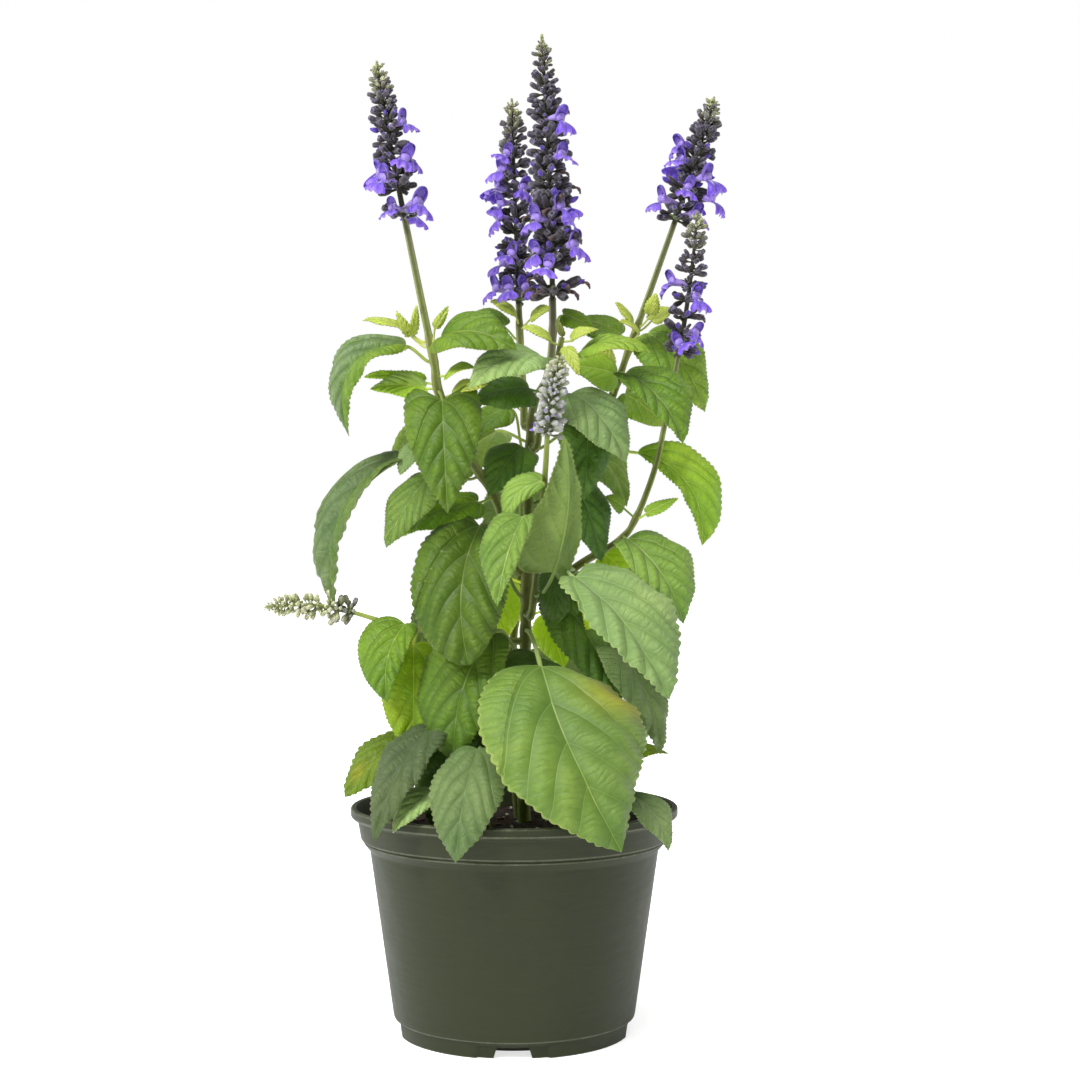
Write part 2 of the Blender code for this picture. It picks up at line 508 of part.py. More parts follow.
def leaf_shape(leaf, route, stations, sunk):
    """A closed leaf of six points a section: a petiole from the stem, then a toothed, folded blade."""
    base, tip = np.asarray(leaf.base, float), np.asarray(leaf.tip, float)
    chord = tip - base
    faces_way = across(leaf.faces, chord)
    foot, out = side_of(route, leaf.height, base)
    if sunk:
        foot = foot - out * (GAP + SPRIG_ROOT)
    stalk = STALK_HALF + STALK_GROWTH * math.dist(base, tip)

    t = np.linspace(0, 1, stations) ** TIP_CROWDING
    bend = leaf.arch * faces_way + leaf.sway * np.cross(unit(chord), faces_way)
    start = unit(chord + 4 * bend)
    bend_angle = math.acos(float(unit(base - foot) @ start))
    steps = STALK_STEPS + (stations == LONG_STATIONS) + (bend_angle > SHARP_BEND and not sunk)
    path = np.vstack((petiole_line(foot, out, base, start, steps),
                      base + np.outer(t, chord) + np.outer(4 * t * (1 - t), bend)))
    tangents = np.gradient(path, axis=0)
    tangents[0], tangents[steps] = out, start
    tangents /= np.linalg.norm(tangents, axis=1)[:, None]
    normals = leaf_normals(tangents, faces_way, steps)
    sides = np.cross(tangents, normals)

    teeth = np.where(np.arange(stations) % 2 == 0, -1.0, 1.0)
    wide = np.concatenate((np.full(steps, stalk), 0.5 * leaf.width * half_width(t, teeth)))
    wide[steps], wide[-1] = stalk, BLADE_THICKNESS / 2
    on_blade = np.concatenate((np.zeros(steps + 1), np.ones(stations - 1)))
    lift = math.radians(leaf.fold) * on_blade
    half = np.concatenate((np.full(steps, STALK_DEPTH * stalk), np.full(stations, BLADE_THICKNESS / 2)))
    rib = np.concatenate((np.zeros(steps), RIB_DEPTH * (1 - t)))
    turn = math.radians(leaf.twist) * np.concatenate((np.zeros(steps), t))

    cos, sin = np.cos(turn)[:, None], np.sin(turn)[:, None]
    normals, sides = normals * cos + sides * sin, sides * cos - normals * sin
    edge = (wide * np.cos(lift))[:, None] * sides
    rise = (wide * np.sin(lift))[:, None] * normals
    up, down = half[:, None] * normals, (half + rib)[:, None] * normals
    corners = (path - edge + rise + up, path + up, path + edge + rise + up,
               path + edge + rise - up, path - down, path - edge + rise - up)
    return np.stack(corners, axis=1).reshape(-1, 3), leaf_faces(len(path))


def build_stems(routes):
    """Each stem with its small leaves fused on."""
    for name, route in routes.items():
        stem = new_object(name, *tube(route.path, route.radii, STEM_SIDES, math.pi / STEM_SIDES), "stem")
        sprigs = []
        for leaf in SPRIGS:
            if leaf.stem == name:
                small = math.dist(leaf.base, leaf.tip) < SMALL_BLADE
                sprigs.append(leaf_shape(leaf, route, SMALL_STATIONS if small else SPRIG_STATIONS, True))
        fuse(stem, sprigs, ("stem",))


def build_leaves(routes):
    """Each large leaf as its own piece, with its petiole's foot a gap away from the stem."""
    for name, leaf in LEAVES.items():
        length = math.dist(leaf.base, leaf.tip)
        stations = SHORT_STATIONS
        if length > MIDDLE_BLADE:
            stations = LONG_STATIONS if length > LONG_BLADE else MIDDLE_STATIONS
        new_object(name, *leaf_shape(leaf, routes[leaf.stem], stations, False), "leaf")


def spike_axis(spike, route):
    """The spike's axis, as a function of the share of its height, leaving along the stem."""
    top, way = route.path[-1], unit(route.path[-1] - route.path[-2])
    foot, tip = top + GAP * way, np.asarray(spike.tip, float)
    middle = foot + 0.5 * np.linalg.norm(tip - foot) * way
    return lambda t: (1 - t) ** 2 * foot + 2 * t * (1 - t) * middle + t**2 * tip


def calyx(corners, heart, along, size, lean, sides):
    """One club-shaped calyx that grows out of a face of the core: its wide ring and its end, and its way out."""
    centre = sum(corners) / 4
    out = across(centre - heart, along)
    reach = size / max(math.sin(lean), STEEPEST)
    room = CALYX_ROOM * math.tan(math.pi / sides)
    middle_radius = math.dist(centre, heart) + CALYX_WIDEST * reach * math.sin(lean)
    radius = min(CALYX_GIRTH * size, room * middle_radius / (1 + room * math.cos(lean)))
    way = math.sin(lean) * out + math.cos(lean) * along
    rise = math.sin(lean) * along - math.cos(lean) * out
    side = unit(corners[1] - corners[0])
    middle = centre + CALYX_WIDEST * reach * way
    ring = [middle + radius * (a * side + b * rise) for a, b in ((-1, -1), (1, -1), (1, 1), (-1, 1))]
    return np.array((*ring, centre + reach * way)), out


def flower(start, way, reach):
    """A closed two-lipped flower: a slim tube that opens into a hood above and a broad notched lip below."""
    side = unit(np.cross(way, UP))
    up = np.cross(side, way)
    mouth = start + reach * way
    angles = 2 * math.pi * np.arange(3) / 3
    foot = start + FLOWER_TUBE * (np.cos(angles)[:, None] * up + np.sin(angles)[:, None] * side)
    rim = [HOOD, *RIM_SIDE, LIP, *((x, -y, z) for x, y, z in reversed(RIM_SIDE))]
    rim = np.array([mouth + FLOWER_SIZE * (x * way + y * side + z * up) for x, y, z in rim])
    points = np.vstack((foot, rim, mouth + FLOWER_SIZE * FLOWER_THROAT * way))
    faces = [(2, 1, 0)]
    owner = (0, 1, 1, 1, 1, 1, 2, 2, 2, 2)
    count = len(rim)
    for i in range(count):
        j = (i + 1) % count
        faces.append((owner[i], 3 + j, 3 + i))
        if owner[i] != owner[j]:
            faces.append((owner[i], owner[j], 3 + j))
        faces.append((3 + i, 3 + j, 3 + count))
    return points, faces


def whorl_rises(spike):
    """The share of the spike's height at which each whorl sits, closer together towards the tip."""
    share = np.linspace(0, 1, spike.whorls) ** WHORL_CROWDING
    return FIRST_WHORL + (LAST_WHORL - FIRST_WHORL) * share


def core_rings(spike, axis, stations):
    """Rings of the spike's core at shares of its height, with the stem's direction at each."""
    sectors = 2 * math.pi * np.arange(spike.sides) / spike.sides
    rings, directions = [], []
    side = np.array((1.0, 0.2, 0.1))
    for k, t in enumerate(stations):
        along = unit(axis(min(t + 0.01, 1.0)) - axis(max(t - 0.01, 0.0)))
        side = across(side, along)
        angles = sectors + math.pi / spike.sides * min(max(k - 1, 0) // 2, spike.whorls - 1)
        ring = np.cos(angles)[:, None] * side + np.sin(angles)[:, None] * np.cross(along, side)
        rings.append(axis(t) + np.interp(t, (0, 1), (CORE_RADIUS, CORE_TIP)) * ring)
        directions.append(along)
    return rings, directions


def build_spike(name, spike, routes, draw):
    """A spike: a slim core with whorls of calyces that shrink towards the tip, and its open flowers."""
    axis = spike_axis(spike, routes[spike.stem])
    length = math.dist(axis(1.0), axis(0.0))
    sides = spike.sides
    rises = whorl_rises(spike)
    band = np.minimum(0.5 * CALYX_ROOT / length, 0.3 * np.gradient(rises))
    stations = [0.0] + [rise + sign * half for rise, half in zip(rises, band) for sign in (-1, 1)] + [1.0]
    rings, directions = core_rings(spike, axis, stations)

    points, faces, calyces = list(np.vstack(rings)), [], []
    last = len(stations) - 1
    for k in range(last):
        whorl = (k - 1) // 2 if k % 2 == 1 and k < last - 1 else None
        for i in range(sides):
            a, b = k * sides + i, k * sides + (i + 1) % sides
            corners = (a, b, b + sides, a + sides)
            if whorl is None:
                faces.append(corners)
                continue
            t = rises[whorl]
            size = spike.girth * (1 - CALYX_SHRINK * t**SHRINK_POWER) * (1 + CALYX_SPREAD * draw.uniform(-1, 1))
            lean = math.radians(LEAN_TOP + (LEAN_LOW - LEAN_TOP) * (1 - t) + LEAN_SPREAD * draw.uniform(-1, 1))
            places = [points[c] for c in corners]
            club, out = calyx(places, axis(t), directions[k], size, lean, sides)
            first = len(points)
            points += list(club)
            calyces.append((t, out, club[:4].mean(axis=0), club[4]))
            for c in range(4):
                d = (c + 1) % 4
                faces += [(corners[c], corners[d], first + d, first + c), (first + c, first + d, first + 4)]
    faces.append(tuple(range(sides - 1, -1, -1)))
    faces.append(tuple(range(last * sides, (last + 1) * sides)))
    core = new_object(name, points, faces, "calyx")

    flowers = []
    for rise, turn in spike.flowers:
        facing = np.array((math.cos(math.radians(turn)), math.sin(math.radians(turn)), 0.0))
        _, _, middle, end = max(calyces, key=lambda row: row[1] @ facing - WHORL_WEIGHT * abs(row[0] - rise))
        flowers.append(flower(middle, unit(unit(end - middle) + facing), math.dist(end, middle)))
    return fuse(core, flowers, ("calyx", "flower"))


def main():
    """Clear the scene and build every piece."""
    for old in list(bpy.data.objects):
        bpy.data.objects.remove(old)
    draw = random.Random(RANDOM_SEED)
    build_pot()
    build_soil()
    routes = stem_routes()
    build_stems(routes)
    build_leaves(routes)
    for name, spike in SPIKES.items():
        build_spike(name, spike, routes, draw)


main()
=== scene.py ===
"""The looks of a potted salvia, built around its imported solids.

Sizes and places are in millimetres, and MM turns them into metres when a mesh is made. The pot stands on
z = 0 with its axis on the z axis, the side that the camera sees faces -Y, and +X is on its right. The
places of stems, leaves and flower spikes are those of the solids that they replace.
"""

import json
import logging
import math
from dataclasses import dataclass, field
from enum import Enum
from typing import Any, Sequence

import bpy
import numpy as np
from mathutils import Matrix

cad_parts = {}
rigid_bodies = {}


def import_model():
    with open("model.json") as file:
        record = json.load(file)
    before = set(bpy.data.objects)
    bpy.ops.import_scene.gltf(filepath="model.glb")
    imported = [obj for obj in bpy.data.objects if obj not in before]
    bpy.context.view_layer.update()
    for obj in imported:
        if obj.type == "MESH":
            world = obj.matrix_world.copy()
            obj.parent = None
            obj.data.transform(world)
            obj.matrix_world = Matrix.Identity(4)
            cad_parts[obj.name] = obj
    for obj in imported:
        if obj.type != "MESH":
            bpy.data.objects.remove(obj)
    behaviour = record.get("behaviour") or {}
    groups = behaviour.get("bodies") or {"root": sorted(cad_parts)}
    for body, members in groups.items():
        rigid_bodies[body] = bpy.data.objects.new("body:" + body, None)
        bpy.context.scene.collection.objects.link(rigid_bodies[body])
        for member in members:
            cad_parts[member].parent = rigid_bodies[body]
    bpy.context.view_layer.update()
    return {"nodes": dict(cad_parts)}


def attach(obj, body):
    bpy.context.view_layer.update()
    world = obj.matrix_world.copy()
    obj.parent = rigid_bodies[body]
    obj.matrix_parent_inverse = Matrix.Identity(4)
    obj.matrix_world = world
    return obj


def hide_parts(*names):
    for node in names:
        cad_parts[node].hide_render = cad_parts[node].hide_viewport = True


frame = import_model()

MM = 0.001
LOG = logging.getLogger("salvia")

Array = np.ndarray
Point = tuple[float, float, float]
Colour = tuple[float, float, float]
Pairs = tuple[tuple[float, float], ...]
Draw = np.random.Generator
Socket = bpy.types.NodeSocket
Material = bpy.types.Material

UPRIGHT = (0.0, 0.0, 1.0)
AWAY = (0.0, 1.0, 0.0)

# A branch or a petiole starts ROOT deep in the stem that carries it. A branch's solid starts a GAP off that
# stem, and from there its first STUB stands square to it
ROOT = 1.2
STUB = 5.0
GAP = 0.3

# Side veins of a leaf, in shares of its length: a vein that starts at a on the midrib lies at
# a + VEIN_SLOPE * d + VEIN_BEND * d^2 where it is d off the midrib, and the next one starts a VEIN_STEP
# further on. The outer pair runs nearer to the margin
VEIN_SLOPE, VEIN_BEND, VEIN_STEP = 1.1, 4.1, 0.23
OUTER_SLOPE, OUTER_BEND = 0.25, 1.3


class Tone(Enum):
    """The colour that a leaf shows: by its age, and by painted light. The deep tone is a darker copy that
    paints the shade on leaves deep in the plant, and the lit tone a yellower one that paints light coming
    through a leaf from behind.
    """

    DEEP_SHADED = "deep"
    MID = "mid"
    SAGE = "sage"
    DOWNY = "downy"
    FRESH = "fresh"
    LIT = "lit"
    YOUNG = "young"


DEEP_SHADED, MID, SAGE, DOWNY, FRESH, LIT, YOUNG = Tone


class Slot(Enum):
    """The record's material slots."""

    POT = "pot"
    SOIL = "soil"
    STEM = "stem"
    LEAF = "leaf"
    CALYX = "calyx"
    PETAL = "petal"


def rgb(red: int, green: int, blue: int) -> Colour:
    """A colour given as screen values from 0 to 255, as the linear values that shaders take."""
    return tuple(((value / 255 + 0.055) / 1.055) ** 2.4 if value > 10 else value / 3294.6
                 for value in (red, green, blue))


def unit(vectors: Array) -> Array:
    """Vectors at length one, along the last axis."""
    vectors = np.asarray(vectors, float)
    return vectors / np.maximum(np.linalg.norm(vectors, axis=-1, keepdims=True), 1e-9)


def across(vectors: Array, along: Array) -> Array:
    """The part of each vector that stands square to another, at length one."""
    along = unit(along)
    vectors = np.broadcast_to(np.asarray(vectors, float), along.shape)
    return unit(vectors - np.sum(vectors * along, axis=-1, keepdims=True) * along)


def ease(low: float, high: float, value: Array) -> Array:
    """A smooth step from 0 at low to 1 at high: 3x^2 - 2x^3 of the share x between them."""
    share = np.clip((value - low) / (high - low), 0, 1)
    return share * share * (3 - 2 * share)


def bell(value: Array, centre: float, width: float) -> Array:
    """A bell curve of height one about a centre: e to the power -((value - centre) / width)^2."""
    return np.exp(-(((value - centre) / width) ** 2))


def lattice_noise(points: Array, cell: float, seed: int) -> Array:
    """Smooth noise from -1 to 1: random values at the corners of a lattice, blended by a smooth step.

    Args:
        points: Places, with two or three numbers along the last axis.
        cell: Size of one cell of the lattice, in the unit of the points.
        seed: Picks one noise among many.

    Returns:
        One value for each point.
    """
    scaled = np.asarray(points, float) / cell
    corner = np.floor(scaled)
    share = scaled - corner
    share = share * share * (3 - 2 * share)
    strides = np.array((127.1, 311.7, 74.7))[: scaled.shape[-1]]
    total = np.zeros(scaled.shape[:-1])
    for offset in np.ndindex(*(2,) * scaled.shape[-1]):
        key = np.sin((corner + offset) @ strides + 13.7 * seed) * 43758.5453
        total += np.prod(np.where(np.array(offset, bool), share, 1 - share), axis=-1) * (key - np.floor(key))
    return 2 * total - 1


def smooth_path(points: Sequence[Point], step: float) -> Array:
    """Points about one step apart on the Catmull-Rom curve through the given points.

    Args:
        points: The points that the curve passes.
        step: Distance between the returned points.

    Returns:
        The points as one array.
    """
    points = np.asarray(points, float)
    ends = np.vstack((2 * points[0] - points[1], points, 2 * points[-1] - points[-2]))
    path = []
    for before, start, end, after in zip(ends, ends[1:], ends[2:], ends[3:]):
        count = max(1, round(np.linalg.norm(end - start) / step))
        t = np.arange(count)[:, None] / count
        path.append(0.5 * (2 * start + (end - before) * t
                           + (2 * before - 5 * start + 4 * end - after) * t**2
                           + (3 * start - before - 3 * end + after) * t**3))
    return np.vstack((*path, points[-1]))


@dataclass
class Patch:
    """A closed surface: points, faces grouped by their number of corners, and values at the points."""

    points: Array
    faces: list[Array]
    values: dict[str, Array] = field(default_factory=dict)

    def with_values(self, **values: Any) -> "Patch":
        """The patch with more values, each given for every point or once for all."""
        for key, value in values.items():
            self.values[key] = np.broadcast_to(np.asarray(value, float), (len(self.points),)).copy()
        return self


def joined(patches: Sequence[Patch]) -> Patch:
    """Several patches as one. A value that a patch lacks is 0 there."""
    starts = np.cumsum([0] + [len(patch.points) for patch in patches])
    keys = sorted({key for patch in patches for key in patch.values})
    faces = [group + start for patch, start in zip(patches, starts) for group in patch.faces]
    values = {key: np.concatenate([patch.values.get(key, np.zeros(len(patch.points))) for patch in patches])
              for key in keys}
    return Patch(np.vstack([patch.points for patch in patches]), faces, values)


def copies(template: Patch, places: Array, axes: Array, sizes: Array, **values: Array) -> Patch:
    """A template set down many times, all in one patch.

    Each point is place + size * (x * first axis + y * second axis + z * third axis).

    Args:
        template: The shape, about its own origin.
        places: One point for each copy.
        axes: Three unit vectors for each copy.
        sizes: One size, or one for each axis, for each copy.
        values: Values for each copy, kept at each of its points.

    Returns:
        The copies as one patch.
    """
    count, each = len(places), len(template.points)
    sizes = np.broadcast_to(np.asarray(sizes, float).reshape(count, -1), (count, 3))
    points = np.einsum("pa,na,nab->npb", template.points, sizes, axes) + places[:, None, :]
    shift = (np.arange(count) * each)[:, None, None]
    faces = [(group[None] + shift).reshape(-1, group.shape[1]) for group in template.faces]
    kept = {key: np.tile(value, count) for key, value in template.values.items()}
    kept.update({key: np.repeat(value, each) for key, value in values.items()})
    return Patch(points.reshape(-1, 3), faces, kept)


def grid_quads(rows: int, columns: int, wrapped: bool = False) -> Array:
    """The quads of a grid of points, each running first along its row and then to the next row."""
    index = np.arange(rows * columns).reshape(rows, columns)
    if wrapped:
        index = np.hstack((index, index[:, :1]))
    corners = (index[:-1, :-1], index[:-1, 1:], index[1:, 1:], index[1:, :-1])
    return np.stack(corners, axis=-1).reshape(-1, 4)


def around(count: int) -> Array:
    """Even angles round a full turn."""
    return 2 * math.pi * np.arange(count) / count


def closed_rings(points: Array) -> Patch:
    """Rings of points joined into a closed surface, with the first and the last ring as its ends."""
    rows, columns = points.shape[:2]
    ends = np.stack((np.arange(columns)[::-1], (rows - 1) * columns + np.arange(columns)))
    return Patch(points.reshape(-1, 3), [grid_quads(rows, columns, True), ends])


def shell(surface: Array, thickness: float, **values: Array) -> Patch:
    """A thin closed sheet about a grid of points.

    Both faces lie half the thickness away along the surface's normal, which is the cross product of its
    two directions, and a strip of quads closes the sheet round its rim.

    Args:
        surface: Points in rows and columns.
        thickness: Distance between the two faces.
        values: Values at each point of the grid, kept on both faces.

    Returns:
        The sheet, with the value "upper" 1 on its first face and 0 on the other.
    """
    rows, columns = surface.shape[:2]
    normal = unit(np.cross(np.gradient(surface, axis=1), np.gradient(surface, axis=0)))
    points = np.concatenate((surface + normal * thickness / 2, surface - normal * thickness / 2))
    index = np.arange(rows * columns).reshape(rows, columns)
    rim = np.concatenate((index[0, :-1], index[:-1, -1], index[-1, :0:-1], index[:0:-1, 0]))
    after, below = np.roll(rim, -1), rows * columns
    quads = grid_quads(rows, columns)
    strip = np.stack((after, rim, rim + below, after + below), axis=-1)
    kept = {key: np.tile(np.broadcast_to(value, (rows, columns)).ravel(), 2) for key, value in values.items()}
    kept["upper"] = np.repeat((1.0, 0.0), below)
    return Patch(points.reshape(-1, 3), [np.vstack((quads, quads[:, ::-1] + below, strip))], kept)


def tube(path: Array, radii: Array, sides: int, reference: Array, profile: Any = None) -> Patch:
    """A closed tube along a path: each ring is centre + radius * (cos a * side + sin a * other).

    Args:
        path: The centres of the rings.
        radii: The radius of each ring.
        sides: Points in a ring.
        reference: What the rings' first direction turns towards, one vector or one for each ring.
        profile: A function of the angle that scales the radius, for a section that isn't round.

    Returns:
        The tube, with the values "run", its length so far, and "angle".
    """
    tangents = unit(np.gradient(path, axis=0))
    side = across(reference, tangents)
    other = np.cross(tangents, side)
    angles = around(sides)
    scale = profile(angles) if profile else np.ones(sides)
    ring = np.cos(angles)[None, :, None] * side[:, None] + np.sin(angles)[None, :, None] * other[:, None]
    patch = closed_rings(path[:, None] + (np.asarray(radii)[:, None] * scale)[..., None] * ring)
    run = np.concatenate(((0.0,), np.cumsum(np.linalg.norm(np.diff(path, axis=0), axis=1))))
    return patch.with_values(run=np.repeat(run, sides), angle=np.tile(angles, len(path)))


def make_piece(name: str, patch: Patch, finish: Material, slot: Slot, *nodes: str,
               body: str = "root") -> bpy.types.Object:
    """Puts a patch into the scene as one piece that rides on a body and stands for the named nodes.

    Args:
        name: The piece's name.
        patch: Its surface, in millimetres.
        finish: Its material.
        slot: The record's slot that its finish stands for; not used.
        nodes: The nodes that it replaces.
        body: The body that it rides on.

    Returns:
        The new object.
    """
    mesh = bpy.data.meshes.new(name)
    corners = np.concatenate([group.ravel() for group in patch.faces])
    sizes = np.concatenate([np.full(len(group), group.shape[1]) for group in patch.faces])
    mesh.vertices.add(len(patch.points))
    mesh.vertices.foreach_set("co", (patch.points * MM).astype(np.float32).ravel())
    mesh.loops.add(len(corners))
    mesh.loops.foreach_set("vertex_index", corners.astype(np.int32))
    mesh.polygons.add(len(sizes))
    mesh.polygons.foreach_set("loop_start", (np.cumsum(sizes) - sizes).astype(np.int32))
    for key, value in patch.values.items():
        mesh.attributes.new(key, "FLOAT", "POINT").data.foreach_set("value", value.astype(np.float32))
    mesh.update(calc_edges=True)
    mesh.shade_smooth()
    mesh.materials.append(finish)
    piece = bpy.data.objects.new(name, mesh)
    bpy.context.scene.collection.objects.link(piece)
    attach(piece, body)
    if nodes:
        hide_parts(*nodes)
    LOG.info("%s: %d points, %d triangles", name, len(patch.points), int(np.sum(sizes - 2)))
    return piece


class Board:
    """A node tree, with short ways to add nodes to it and to join them."""

    def __init__(self, tree: bpy.types.NodeTree) -> None:
        """Keeps the tree that the nodes go into."""
        self.tree = tree

    def put(self, socket: Socket, value: Any) -> None:
        """Links a socket to an input, or sets the input's value."""
        if isinstance(value, Socket):
            self.tree.links.new(value, socket)
        elif isinstance(value, tuple) and len(value) == 3 and socket.type == "RGBA":
            socket.default_value = (*value, 1.0)
        else:
            socket.default_value = value

    def fill(self, node: bpy.types.Node, **inputs: Any) -> None:
        """Links or sets a node's inputs, each given by its name with _ for a space."""
        for key, value in inputs.items():
            self.put(node.inputs[key.replace("_", " ")], value)

    def node(self, kind: str, settings: dict[str, Any] | None = None, **inputs: Any) -> bpy.types.Node:
        """Adds a shader node.

        Args:
            kind: The node's type without its "ShaderNode".
            settings: The node's own properties.
            inputs: Values or sockets, as fill() takes them.

        Returns:
            The new node.
        """
        made = self.tree.nodes.new("ShaderNode" + kind)
        for key, value in (settings or {}).items():
            setattr(made, key, value)
        self.fill(made, **inputs)
        return made

    def math(self, operation: str, *values: Any) -> Socket:
        """The result of a Math node."""
        made = self.node("Math", {"operation": operation})
        for socket, value in zip(made.inputs, values):
            self.put(socket, value)
        return made.outputs[0]

    def times(self, first: Any, *others: Any) -> Socket:
        """The product of values, taken from left to right."""
        for other in others:
            first = self.math("MULTIPLY", first, other)
        return first

    def rest(self, value: Any) -> Socket:
        """One minus a value."""
        return self.math("SUBTRACT", 1.0, value)

    def ease(self, value: Any, low: Any, high: Any) -> Socket:
        """A smooth step of a value from 0 at low to 1 at high."""
        return self.node("MapRange", {"interpolation_type": "SMOOTHSTEP"}, Value=value, From_Min=low,
                         From_Max=high).outputs[0]

    def scaled(self, value: Any, low: Any, high: Any) -> Socket:
        """A value between 0 and 1 stretched to lie between low and high."""
        return self.node("MapRange", Value=value, To_Min=low, To_Max=high).outputs[0]

    def mix(self, share: Any, first: Any, second: Any) -> Socket:
        """One colour turning into another as the share goes from 0 to 1."""
        made = self.node("Mix", {"data_type": "RGBA", "clamp_factor": True})
        for place, value in ((0, share), (6, first), (7, second)):
            self.put(made.inputs[place], value)
        return made.outputs[2]

    def layers(self, colour: Any, *coats: tuple[Any, Any]) -> Any:
        """A colour under coats, each given as a share and a colour of its own, from the lowest up."""
        for share, coat in coats:
            colour = self.mix(share, colour, coat)
        return colour

    def value(self, name: str) -> Socket:
        """A value that the mesh keeps at its points."""
        return self.node("Attribute", {"attribute_name": name}).outputs["Fac"]

    def values(self, *names: str) -> list[Socket]:
        """Several such values."""
        return [self.value(name) for name in names]

    def place(self) -> Socket:
        """Object coordinates, in metres."""
        return self.node("TexCoord").outputs["Object"]

    def grain(self, scale: Any, detail: float, vector: Socket) -> Socket:
        """Noise of a scale over a vector, from 0 to 1."""
        return self.node("TexNoise", Vector=vector, Scale=scale, Detail=detail).outputs["Fac"]

    def noise(self, size: float, detail: float, vector: Socket | None = None) -> Socket:
        """Noise with features of a size in millimetres, from 0 to 1, over the object's coordinates."""
        return self.grain(1 / (size * MM), detail, vector or self.place())

    def bump(self, height: Any, depth: float, under: Socket | None = None) -> Socket:
        """The normal over a relief whose height 1 stands a depth in millimetres tall."""
        made = self.node("Bump", Height=height, Distance=depth * MM, Strength=1.0)
        if under is not None:
            self.put(made.inputs["Normal"], under)
        return made.outputs[0]


def new_group(name: str, inputs: dict[str, float], outputs: Sequence[str]) -> tuple[Board, Any, Any]:
    """A shader node group with number sockets.

    Args:
        name: The group's name.
        inputs: Its inputs and their values at rest.
        outputs: Its outputs.

    Returns:
        The board of its tree, its input node and its output node.
    """
    tree = bpy.data.node_groups.new(name, "ShaderNodeTree")
    for key, value in inputs.items():
        tree.interface.new_socket(key, in_out="INPUT", socket_type="NodeSocketFloat").default_value = value
    for key in outputs:
        tree.interface.new_socket(key, in_out="OUTPUT", socket_type="NodeSocketFloat")
    return Board(tree), tree.nodes.new("NodeGroupInput"), tree.nodes.new("NodeGroupOutput")


